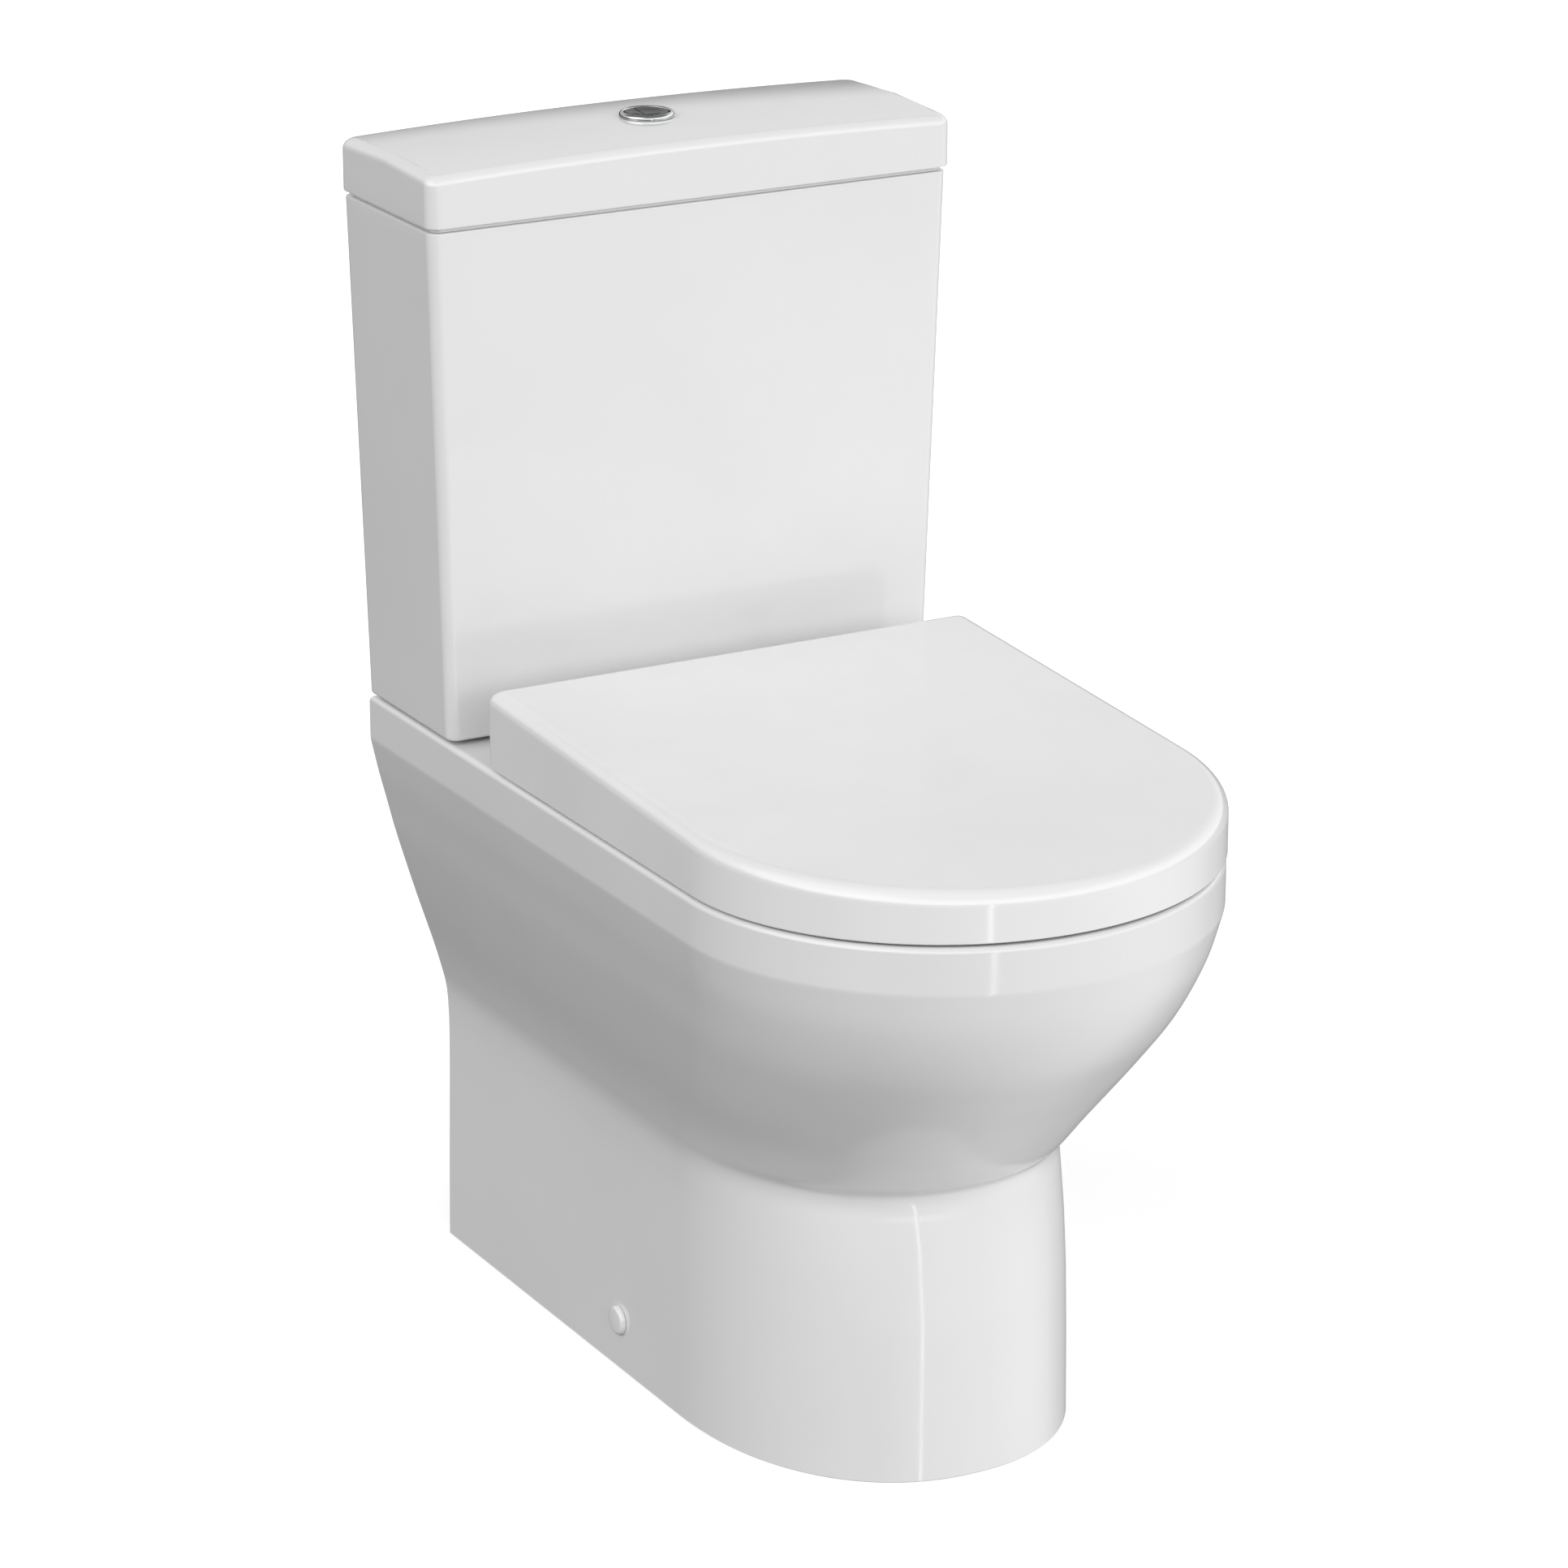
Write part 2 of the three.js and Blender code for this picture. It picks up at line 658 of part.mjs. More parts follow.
// Slope of the seat lid's top along Y.
function seatTop(y) {
  const run = (y - SEAT_TIP) / (SEAT_REAR - SEAT_TIP);
  return SEAT_TOP_FRONT + (SEAT_TOP_REAR - SEAT_TOP_FRONT) * run;
}

function seatOutline(inset, z, corner) {
  return dHalf({
    w: SEAT_HALF - inset,
    rear: SEAT_REAR - inset,
    flat: SEAT_FLAT_END,
    tip: SEAT_TIP + inset,
    corner,
    z,
    steps: 16,
  });
}

function seatShape(skin, bottom) {
  const round = SEAT_ROUND - skin * 0.5;
  const halves = [seatOutline(skin, bottom, SEAT_REAR_CORNER - skin)];
  for (let i = 0; i <= 4; i += 1) {
    const a = (Math.PI / 2) * (i / 4);
    const inset = skin + round * (1 - Math.cos(a));
    const drop = skin + round * (1 - Math.sin(a));
    const corner = Math.max(SEAT_REAR_CORNER - inset * 0.3, 2);
    halves.push(seatOutline(inset, (x, y) => seatTop(y) - drop, corner));
  }
  return stack(halves, mirrorX);
}

function makeSeatLid() {
  let body = seatShape(0, SEAT_BOTTOM).subtract(seatShape(SEAT_WALL, SEAT_BOTTOM - 5));
  const heel = box(-200, 200, SEAT_REAR - 12, SEAT_REAR + 8, SEAT_BOTTOM - 5, SEAT_BOTTOM + 12);
  body = body.subtract(heel.subtract(rodX(12, -210, 210, SEAT_REAR - 12, SEAT_BOTTOM + 12, 40)));
  body = body.subtract(box(-172, 172, HINGE_Y, SEAT_REAR + 5, SEAT_BOTTOM - 5, HINGE_Z - 12));
  for (const side of [-1, 1]) {
    const post = side * HINGE_X;
    body = body.subtract(box(post - 10.5, post + 10.5, HINGE_Y + 5, SEAT_REAR + 5, 415, 450));
    const x0 = Math.min(side * 56, side * 68);
    const web = box(x0, x0 + 12, HINGE_Y - 7, HINGE_Y + 7, HINGE_Z, SEAT_TOP_REAR - 3);
    const hub = rodX(HUB_R, x0, x0 + 12, HINGE_Y, HINGE_Z, 20);
    body = join(body, web, hub).subtract(rodX(PIN_HOLE_R, x0 - 1, x0 + 13, HINGE_Y, HINGE_Z));
  }
  return body;
}

function ringOutline(inset, z) {
  return dHalf({
    w: RING_HALF - inset, rear: 88 - inset, flat: -137, tip: -309 + inset, corner: 12, z,
  });
}

function makeSeatRing() {
  const halves = [ringOutline(1.5, RING_BOTTOM), ringOutline(0, RING_BOTTOM + 2)];
  for (let i = 0; i <= 3; i += 1) {
    const a = (Math.PI / 2) * (i / 3);
    halves.push(ringOutline(6 * (1 - Math.cos(a)), RING_TOP - 6 + 6 * Math.sin(a)));
  }
  let body = stack(halves, mirrorX);
  const hole = (grow, z) => dHalf({
    w: 104 + grow, rear: 36 + grow, flat: -96, tip: -247 - grow, corner: 60, z, steps: 10,
  });
  const levels = [[1, -1], [0, 4], [0, 11], [2, 14], [6, 17]];
  body = body.subtract(stack(levels.map(([grow, up]) => hole(grow, RING_BOTTOM + up)), mirrorX));
  const back = HINGE_Y;
  const arm = [[74, 418], [88, 418], [94, 429], [back, 429], [back, 439], [88, 439], [74, 427]];
  for (const side of [-1, 1]) {
    const x0 = Math.min(side * 87, side * 99);
    const knuckle = join(slabYZ(arm, x0, x0 + 12), rodX(HUB_R, x0, x0 + 12, HINGE_Y, HINGE_Z, 20));
    body = join(body, knuckle).subtract(rodX(PIN_HOLE_R, x0 - 1, x0 + 13, HINGE_Y, HINGE_Z));
  }
  return body;
}

function makeHingePost(side) {
  const x = side * HINGE_X;
  let body = box(x - 20, x + 20, 96, 130, RIM_TOP + GAP, 411);
  body = join(body, box(x - 7.5, x + 7.5, HINGE_Y - 7, HINGE_Y + 7, 410, HINGE_Z));
  body = join(body, rodX(HUB_R, x - 7.5, x + 7.5, HINGE_Y, HINGE_Z, 20));
  body = body.subtract(rodX(PIN_HOLE_R, x - 9, x + 9, HINGE_Y, HINGE_Z));
  return body.subtract(rod(4.4, 400, 420, x, HINGE_Y - 15, 20));
}

function makeBracket(side) {
  const inner = side * 72;
  const mid = side * 100;
  const outer = side * 114;
  let body = box(Math.min(inner, outer), Math.max(inner, outer), FIX_Y - 13, FIX_Y + 13, 0, 6);
  body = join(body, box(Math.min(mid, outer), Math.max(mid, outer), FIX_Y - 13, FIX_Y + 13, 0, 52));
  body = body.subtract(rod(4, -1, 8, side * 86, FIX_Y, 16));
  const hole = [side * 103, side * 116].sort((p, q) => p - q);
  return body.subtract(rodX(2.9, hole[0], hole[1], FIX_Y, FIX_Z, 16));
}

// Turned piece lying along X at the side fixing, growing outwards from the pan's side.
function turnedSide(profile, side, sides) {
  const foot = between(PAN_SKIN, FIX_Z)[1];
  const shape = new THREE.LatheGeometry(profile.map(([r, x]) => new THREE.Vector2(r, x)), sides);
  shape.rotateZ(-side * (Math.PI / 2));
  shape.translate(side * foot, FIX_Y, FIX_Z);
  return solid(shape);
}

const group = new THREE.Group();
group.name = 'close_coupled_toilet';

function add(name, body, look) {
  const material = new THREE.MeshStandardMaterial(look);
  const mesh = new THREE.Mesh(geometryOf(body), material);
  mesh.name = name;
  group.add(mesh);
}

const SIDES = [['left', -1], ['right', 1]];

add('pan', makePan(), china());
add('cistern_body', makeTank(), china());
add('cistern_lid', makeCover(), china());

add('button_bezel', makeBezel(), chrome);
const COVER_UNDER = COVER_EDGE_TOP - COVER_WALL;
add('button_nut', washer(17, 24, COVER_UNDER - 9, COVER_UNDER - GAP, 0, VALVE_Y), greyPlastic);
add('full_flush_button', makeButton(1), chrome);
add('half_flush_button', makeButton(-1), chrome);

add('flush_valve_body', makeValveBody(), valvePlastic);
add('flush_valve_washer', washer(31, 44, TANK_INSIDE + GAP, 426.7, 0, VALVE_Y, 28), rubber);
add('flush_valve_backnut', washer(30.4, 38, 396, TANK_BOTTOM - GAP, 0, VALVE_Y, 28), greyPlastic);
add('coupling_washer', turned([
  [31, 384.8], [47, 384.8], [47, TANK_BOTTOM - GAP], [41, TANK_BOTTOM - GAP], [41, 395], [31, 395],
  [31, 384.8],
], 0, VALVE_Y, 28), rubber);
add('flush_plunger', makePlunger(), bluePlastic);
add('plunger_seal', washer(15, 28.5, SEAT_Z + GAP, 436.7, 0, VALVE_Y, 28), rubber);
add('half_flush_float', makeHalfFloat(), greyPlastic);
add('full_flush_rocker', makeRocker(1), greyPlastic);
add('half_flush_rocker', makeRocker(-1), greyPlastic);
add('full_rocker_pin', rodY(2, VALVE_Y - 21, VALVE_Y + 21, ROCKER_X, BRIDGE_Z), steel);
add('half_rocker_pin', rodY(2, VALVE_Y - 21, VALVE_Y + 21, -ROCKER_X, BRIDGE_Z), steel);

add('inlet_valve', makeInletValve(), valvePlastic);
add('inlet_valve_washer', washer(10.5, 17, TANK_INSIDE + GAP, 426.6, INLET_X, VALVE_Y), rubber);
add('inlet_valve_backnut', washer(10.4, 17, 397, TANK_BOTTOM - GAP, INLET_X, VALVE_Y), greyPlastic);
add('float_cup', makeFloatCup(), valvePlastic);
add('float_lever', makeFloatLever(), greyPlastic);
add('float_lever_pin', rodY(1.5, VALVE_Y - 10, VALVE_Y + 10, INLET_X + 10, 679, 16), steel);

for (const [hand, side] of SIDES) {
  const x = side * BOLT_X;
  add(`coupling_bolt_${hand}`, hexBolt(x, VALVE_Y, 427.1, 5, 8, 4, 350), brass);
  add(`coupling_bolt_seal_${hand}`, washer(5.8, 13, TANK_INSIDE + GAP, 426.8, x, VALVE_Y), rubber);
  add(`coupling_bolt_washer_${hand}`, washer(4.4, 12, 382.4, 384.2, x, VALVE_Y), steel);
  add(`coupling_wing_nut_${hand}`, wingNut(x, VALVE_Y, 371, 382, 4.3, 15.5), brass);
}

add('seat_ring', makeSeatRing(), whitePlastic);
for (const [hand, side] of SIDES) {
  add(`ring_buffer_rear_${hand}`, rod(8, RIM_TOP + GAP, 411.7, side * 145, 20, 14), rubber);
  add(`ring_buffer_front_${hand}`, rod(8, RIM_TOP + GAP, 411.7, side * 132, -200, 14), rubber);
}
add('seat_lid', makeSeatLid(), whitePlastic);
for (const [hand, side] of SIDES) {
  const top = seatTop(-268) - SEAT_WALL - GAP;
  add(`lid_buffer_${hand}`, rod(6, RING_TOP + GAP, top, side * 60, -262, 14), rubber);
}

for (const [hand, side] of SIDES) {
  const x = side * HINGE_X;
  const y = HINGE_Y - 15;
  add(`hinge_post_${hand}`, makeHingePost(side), chrome);
  const pin = [side * 54.5, side * 99.8].sort((p, q) => p - q);
  add(`hinge_pin_${hand}`, rodX(PIN_R, pin[0], pin[1], HINGE_Y, HINGE_Z), steel);
  add(`seat_bolt_${hand}`, hexBolt(x, y, 411.3, 4, 7, 4, 346), steel);
  add(`seat_bolt_bush_${hand}`, washer(4.4, 11, 378, 384.2, x, y), rubber);
  add(`seat_wing_nut_${hand}`, wingNut(x, y, 366, 377.6, 4.3, 18), whitePlastic);
}
add('lid_damper', rodX(7, -54, -22, HINGE_Y, HINGE_Z), greyPlastic);
add('ring_damper', rodX(7, 100.2, 134, HINGE_Y, HINGE_Z), greyPlastic);

for (const [hand, side] of SIDES) {
  add(`floor_bracket_${hand}`, makeBracket(side), greyPlastic);
  add(`side_screw_${hand}`, turnedSide([
    [0, -24], [2.6, -22], [2.6, 0.3], [6.2, 0.3], [6.2, 1.4], [4.5, 2.2], [0, 2.2],
  ], side, 12), steel);
  add(`side_cap_${hand}`, turnedSide([
    [0, 2.6], [6.6, 2.5], [8.2, 1.8], [8.6, 0.3], [CAP_R, 0.3], [CAP_R, 1.2],
    [9.3, 3], [7.4, 3.8], [0, 4.1],
  ], side, 18), whitePlastic);
}

export default group;
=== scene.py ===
import json
import math

import bmesh
import bpy
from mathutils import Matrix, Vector


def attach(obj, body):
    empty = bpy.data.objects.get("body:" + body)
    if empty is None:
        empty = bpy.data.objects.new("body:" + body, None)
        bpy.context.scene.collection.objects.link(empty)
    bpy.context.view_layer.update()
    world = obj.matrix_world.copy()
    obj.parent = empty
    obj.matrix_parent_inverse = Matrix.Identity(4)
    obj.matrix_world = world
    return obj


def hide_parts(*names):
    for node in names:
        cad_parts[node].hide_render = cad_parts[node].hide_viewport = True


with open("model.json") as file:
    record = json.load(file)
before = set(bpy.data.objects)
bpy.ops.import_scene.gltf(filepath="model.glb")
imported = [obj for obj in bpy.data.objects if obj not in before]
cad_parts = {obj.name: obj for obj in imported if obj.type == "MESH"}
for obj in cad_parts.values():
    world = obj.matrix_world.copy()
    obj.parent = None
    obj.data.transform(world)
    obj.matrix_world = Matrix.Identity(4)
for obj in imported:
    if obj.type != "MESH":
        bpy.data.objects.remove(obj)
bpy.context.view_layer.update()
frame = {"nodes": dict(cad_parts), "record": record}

MM = 0.001

# ---------------------------------------------------------------- sizes, millimetres
WALL_Y = 317.5
FRONT_Y = -317.5
RIM_TOP = 406.5
RIM_CREASE = 376.0
RIM_EDGE = 4.0
RIM_GROOVE = 1.6
PAN_WALL = 12.0
PAN_FOOT_ROUND = 0.7
DECK_UNDER = 384.5
BOWL_THICKNESS = 10
TRAP_OUTER = 45
TRAP_BORE = 36
FLUSH_OUTER = 34
FLUSH_BORE = 26
VALVE_BOSS = 58
VALVE_RECESS = 50
TANK_BOTTOM = 409.5
TANK_TOP = 755.0
TANK_INSIDE = 421.5
TANK_WALL = 9.0
TANK_REAR = 317.0
TANK_CORNER = 8.0
TANK_HALF_BOTTOM = 181.2
TANK_HALF_TOP = 191.4
TANK_FRONT_BOTTOM = 189.1
TANK_FRONT_TOP = 182.5
COVER_HALF = 193.0
COVER_FRONT = 179.8
COVER_REAR = 317.5
COVER_MID = (COVER_FRONT + COVER_REAR) / 2
COVER_BOTTOM = 758.0
COVER_EDGE_TOP = 792.5
COVER_CORNER = 9
COVER_ROUND = 7.0
COVER_UNDER = COVER_EDGE_TOP - 11
CROWN_ACROSS = 4
CROWN_DEEP = 3
LID_TOP = COVER_EDGE_TOP + CROWN_ACROSS + CROWN_DEEP
VALVE_Y = 250.0
BOLT_X = 75.0
INLET_X = 125.0
TRAP_Z = 180.0
HINGE_Y = 121.5
HINGE_Z = 434.0
HINGE_X = 77.5
KNUCKLE_R = 9
KNUCKLE_WIDTH = 12
PIN_HOLE_R = 3.1
LID_KNUCKLE_X = 62
RING_KNUCKLE_X = 93
SEAT_HALF = 179.8
SEAT_REAR = 137.0
SEAT_FLAT_END = -144.5
SEAT_TIP = -316.0
SEAT_BOTTOM = 408.5
SEAT_TOP_FRONT = 440.8
SEAT_TOP_REAR = 462.0
SEAT_ROUND = 10.0
HEEL_R = 12
SEAT_WALL = 4.0
RING_BOTTOM = 412.0
RING_TOP = 428.0
RING_HALF = 172
RING_REAR = 88
RING_FLAT_END = -137
RING_TIP = -309
RING_EDGE = 6
RING_HOLE_HALF = 104
RING_HOLE_REAR = 36
RING_HOLE_FLAT_END = -96
RING_HOLE_TIP = -247
RING_HOLE_ROUND = 6.5
FIX_Y = 58.5
FIX_Z = 35.0
CAP_R = 10
CAP_ROUND = 2.6
BUTTON_TOP = 803.0
BUTTON_R = 14.9
BUTTON_EDGE_X = -3
BEZEL_R = 18.5
ROD_X = 8

# height, half width, end of the straight side, front tip, fullness
PAN_SKIN = [
    (0, 127.8, -24.5, -195.8, 2.2),
    (45, 127.1, -24.5, -195.8, 2.2),
    (99, 126, -24.5, -195, 2.2),
    (134, 125.3, -24.5, -192, 2.2),
    (156, 125.1, -24.5, -189, 2.18),
    (174, 125.6, -24.5, -185, 2.15),
    (184, 126.4, -24.5, -182.8, 2.12),
    (192, 127.8, -26, -184.5, 2.08),
    (202, 130.4, -32, -196, 2.05),
    (212, 133.2, -39, -206, 2.03),
    (226, 137.5, -50.5, -218.5, 2.01),
    (254, 146.7, -76.5, -243, 2),
    (281, 155.1, -97.5, -266.6, 2),
    (309, 163.4, -116.5, -289.2, 2),
    (333, 169.6, -128.5, -303.5, 2),
    (351, 174.3, -135, -311, 2),
    (RIM_CREASE, 180, -139.7, FRONT_Y, 2),
]

# height, half width, rear, front tip; its lip rounds over into the rim from BASIN_LIP up
BASIN_LIP = 396
BASIN = [
    (105, 24, -40, -86), (107, 32, -32, -94), (112, 38, -26, -102), (150, 46, -14, -118),
    (190, 54, -6, -140), (230, 72, 8, -176), (270, 92, 26, -216), (310, 107, 40, -244),
    (350, 116, 48, -259), (BASIN_LIP, 118, 50, -262), (402, 119.2, 51.2, -263.2),
    (405.4, 121.6, 53.6, -265.6), (RIM_TOP + 0.01, 125, 57, -269), (RIM_TOP + 4, 125, 57, -269),
]

# ---------------------------------------------------------------- outlines and skins


def between(stations, z):
    """Smooth values between stations, one curve through each column."""
    k = 0
    while k + 2 < len(stations) and z > stations[k + 1][0]:
        k += 1

    def rise(m, col):
        return (stations[m + 1][col] - stations[m][col]) / (stations[m + 1][0] - stations[m][0])

    def slope(i, col):
        if i == 0:
            return rise(0, col)
        if i == len(stations) - 1:
            return rise(i - 1, col)
        a, b = rise(i - 1, col), rise(i, col)
        return 0.0 if a * b <= 0 else 2 * a * b / (a + b)

    lo, hi = stations[k], stations[k + 1]
    span = hi[0] - lo[0]
    t = (z - lo[0]) / span
    out = []
    for col in range(len(lo)):
        a = (2 * t ** 3 - 3 * t ** 2 + 1) * lo[col]
        b = (t ** 3 - 2 * t ** 2 + t) * span * slope(k, col)
        c = (3 * t ** 2 - 2 * t ** 3) * hi[col]
        d = (t ** 3 - t ** 2) * span * slope(k + 1, col)
        out.append(a + b + c + d)
    return out


def d_half(w, rear, flat, tip, z, n=2.0, corner=0.05, steps=56, turn=8):
    """Left half of a D-shaped outline, from the middle of its rear edge to its front tip."""
    pts = [(0.0, rear)]
    pts += [(-(w - corner) * f, rear) for f in (0.3, 0.6, 0.85)]
    for i in range(turn + 1):
        a = math.pi / 2 * i / turn
        pts.append((-(w - corner) - corner * math.sin(a), rear - corner + corner * math.cos(a)))
    y0 = rear - corner
    pts += [(-w, y0 + (flat - y0) * i / 10) for i in range(1, 10)]
    for i in range(steps + 1):
        t = math.pi / 2 * i / steps
        x = -w * max(math.cos(t), 0.0) ** (2 / n)
        pts.append((x, flat - (flat - tip) * math.sin(t) ** (2 / n)))
    return [(x, y, z(x, y) if callable(z) else z) for x, y in pts]


def box_half(w, front, rear, corner, z, turn=10, across=24):
    """Front half of a rectangle with rounded corners, from its left side to its right side."""
    mid = (front + rear) / 2
    pts = [(-w, mid)]
    for i in range(turn + 1):
        a = math.pi / 2 * i / turn
        pts.append((-w + corner - corner * math.cos(a), front + corner - corner * math.sin(a)))
    pts += [(-w + corner + 2 * (w - corner) * i / across, front) for i in range(1, across)]
    for i in range(turn + 1):
        a = math.pi / 2 * i / turn
        pts.append((w - corner + corner * math.sin(a), front + corner - corner * math.cos(a)))
    pts.append((w, mid))
    return [(x, y, z(x, y) if callable(z) else z) for x, y in pts]


def mesh_object(name, verts, faces):
    mesh = bpy.data.meshes.new(name)
    mesh.from_pydata([(x * MM, y * MM, z * MM) for x, y, z in verts], [], faces)
    obj = bpy.data.objects.new(name, mesh)
    bpy.context.scene.collection.objects.link(obj)
    return obj


def weld(obj):
    """Merges meeting points, drops empty faces and turns every face outwards."""
    bm = bmesh.new()
    bm.from_mesh(obj.data)
    bmesh.ops.remove_doubles(bm, verts=bm.verts, dist=1e-6)
    bmesh.ops.dissolve_degenerate(bm, edges=bm.edges, dist=1e-7)
    bmesh.ops.recalc_face_normals(bm, faces=bm.faces)
    bm.to_mesh(obj.data)
    bm.free()
    return obj


def stack(name, halves, mirror, dome=None, rows=16):
    """Skins a stack of half outlines and their mirrored halves, with both ends closed."""
    count = len(halves[0])
    n = 2 * count
    verts, faces = [], []
    for half in halves:
        verts += half
        verts += [mirror(p) for p in reversed(half)]
    for k in range(len(halves) - 1):
        for i in range(n):
            j = (i + 1) % n
            faces.append((k * n + i, k * n + j, (k + 1) * n + j, (k + 1) * n + i))
    top = (len(halves) - 1) * n
    left = [top + i for i in range(count)]
    total = rows if dome else 1
    for row in range(1, total + 1):
        right = [top + n - 1 - i for i in range(count)]
        if row < total:
            right = []
            for p in halves[-1]:
                far = mirror(p)
                x = p[0] + (far[0] - p[0]) * row / total
                y = p[1] + (far[1] - p[1]) * row / total
                verts.append((x, y, dome(x, y)))
                right.append(len(verts) - 1)
        for i in range(count - 1):
            faces.append((left[i], left[i + 1], right[i + 1], right[i]))
        left = right
    for i in range(count - 1):
        faces.append((i, n - 1 - i, n - 2 - i, i + 1))
    return weld(mesh_object(name, verts, faces))


def mirror_x(p):
    return (-p[0], p[1], p[2])


def turned(name, profile, x, y, sides=64):
    """Turned piece. profile lists radius and height; it starts and ends on the axis or closes."""
    verts, faces = [], []
    closed = profile[0] == profile[-1]
    pts = profile[:-1] if closed else profile
    for s in range(sides):
        a = 2 * math.pi * s / sides
        for r, z in pts:
            verts.append((x + r * math.cos(a), y + r * math.sin(a), z))
    m = len(pts)
    last = m if closed else m - 1
    for s in range(sides):
        t = (s + 1) % sides
        for i in range(last):
            j = (i + 1) % m
            faces.append((s * m + i, t * m + i, t * m + j, s * m + j))
    return weld(mesh_object(name, verts, faces))


def bar(name, r, z0, z1, x, y, sides=48):
    """Upright round bar."""
    return turned(name, [(0, z0), (r, z0), (r, z1), (0, z1)], x, y, sides)


def bar_x(name, r, x0, x1, y, z, sides=48):
    """Round bar along x."""
    obj = turned(name, [(0, x0), (r, x0), (r, x1), (0, x1)], 0, 0, sides)
    for v in obj.data.vertices:
        a, b, c = v.co
        v.co = (c, y * MM + a, z * MM + b)
    return weld(obj)


def block(name, x0, x1, y0, y1, z0, z1):
    v = [(x, y, z) for x in (x0, x1) for y in (y0, y1) for z in (z0, z1)]
    f = [(0, 1, 3, 2), (4, 6, 7, 5), (0, 4, 5, 1), (2, 3, 7, 6), (0, 2, 6, 4), (1, 5, 7, 3)]
    return weld(mesh_object(name, v, f))


def pipe(name, radius, path, sides=32, steps=12):
    """Round bar along smooth points in the plane x = 0."""
    pts = []
    ext = [tuple(2 * a - b for a, b in zip(path[0], path[1]))] + list(path)
    ext.append(tuple(2 * a - b for a, b in zip(path[-1], path[-2])))
    for k in range(1, len(ext) - 2):
        p0, p1, p2, p3 = ext[k - 1:k + 3]
        for i in range(steps):
            t = i / steps
            pts.append(tuple(
                0.5 * ((2 * p1[c]) + (-p0[c] + p2[c]) * t
                       + (2 * p0[c] - 5 * p1[c] + 4 * p2[c] - p3[c]) * t * t
                       + (-p0[c] + 3 * p1[c] - 3 * p2[c] + p3[c]) * t ** 3)
                for c in (0, 1)))
    pts.append(path[-1])
    verts, faces = [], []
    for i, (y, z) in enumerate(pts):
        a, b = pts[max(i - 1, 0)], pts[min(i + 1, len(pts) - 1)]
        d = Vector((b[0] - a[0], b[1] - a[1])).normalized()
        for s in range(sides):
            t = 2 * math.pi * s / sides
            u = radius * math.sin(t)
            verts.append((radius * math.cos(t), y - d.y * u, z + d.x * u))
    for i in range(len(pts) - 1):
        for s in range(sides):
            t = (s + 1) % sides
            faces.append((i * sides + s, i * sides + t, (i + 1) * sides + t, (i + 1) * sides + s))
    faces.append(tuple(range(sides)))
    faces.append(tuple((len(pts) - 1) * sides + s for s in reversed(range(sides))))
    return weld(mesh_object(name, verts, faces))


def combine(obj, others, operation):
    """Joins or cuts closed meshes and bakes the result into obj."""
    for other in others:
        mod = obj.modifiers.new("b", "BOOLEAN")
        mod.operation = operation
        mod.solver = "MANIFOLD"
        mod.object = other
    graph = bpy.context.evaluated_depsgraph_get()
    baked = bpy.data.meshes.new_from_object(obj.evaluated_get(graph))
    obj.modifiers.clear()
    old = obj.data
    obj.data = baked
    bpy.data.meshes.remove(old)
    for other in others:
        bpy.data.objects.remove(other, do_unlink=True)
    return obj


def soften(obj, angle=34.0, bevel=0.0):
    """Smooth shading with crisp edges kept, and small rounds on them where bevel is given."""
    for p in obj.data.polygons:
        p.use_smooth = True
    obj.data.set_sharp_from_angle(angle=math.radians(angle))
    if bevel:
        mod = obj.modifiers.new("round", "BEVEL")
        mod.width = bevel * MM
        mod.segments = 3
        mod.limit_method = "ANGLE"
        mod.angle_limit = math.radians(38)
        mod.use_clamp_overlap = True
        mod.harden_normals = True
    else:
        obj.modifiers.new("even", "WEIGHTED_NORMAL").keep_sharp = True
    return obj


# ---------------------------------------------------------------- materials


def nodes_for(name, colour, rough, metal=0.0):
    mat = bpy.data.materials.new(name)
    mat.use_nodes = True
    tree = mat.node_tree
    bsdf = tree.nodes["Principled BSDF"]
    bsdf.inputs["Base Color"].default_value = (*colour, 1)
    bsdf.inputs["Roughness"].default_value = rough
    bsdf.inputs["Metallic"].default_value = metal
    coords = tree.nodes.new("ShaderNodeTexCoord")
    return mat, tree, bsdf, coords


def noise(tree, coords, scale, detail=3.0, rough=0.5, stretch=None):
    n = tree.nodes.new("ShaderNodeTexNoise")
    n.inputs["Scale"].default_value = scale
    n.inputs["Detail"].default_value = detail
    n.inputs["Roughness"].default_value = rough
    if stretch:
        m = tree.nodes.new("ShaderNodeMapping")
        m.inputs["Scale"].default_value = stretch
        tree.links.new(coords.outputs["Object"], m.inputs["Vector"])
        tree.links.new(m.outputs["Vector"], n.inputs["Vector"])
    else:
        tree.links.new(coords.outputs["Object"], n.inputs["Vector"])
    return n


def ramp(tree, source, low, high, at=(0.35, 0.65)):
    r = tree.nodes.new("ShaderNodeValToRGB")
    r.color_ramp.elements[0].position = at[0]
    r.color_ramp.elements[1].position = at[1]
    for stop, shade in zip(r.color_ramp.elements, (low, high)):
        stop.color = (*shade, 1) if isinstance(shade, tuple) else (shade, shade, shade, 1)
    tree.links.new(source, r.inputs["Fac"])
    return r


def bump(tree, source, distance, strength, normal=None):
    b = tree.nodes.new("ShaderNodeBump")
    b.inputs["Distance"].default_value = distance
    b.inputs["Strength"].default_value = strength
    tree.links.new(source, b.inputs["Height"])
    if normal is not None:
        tree.links.new(normal, b.inputs["Normal"])
    return b


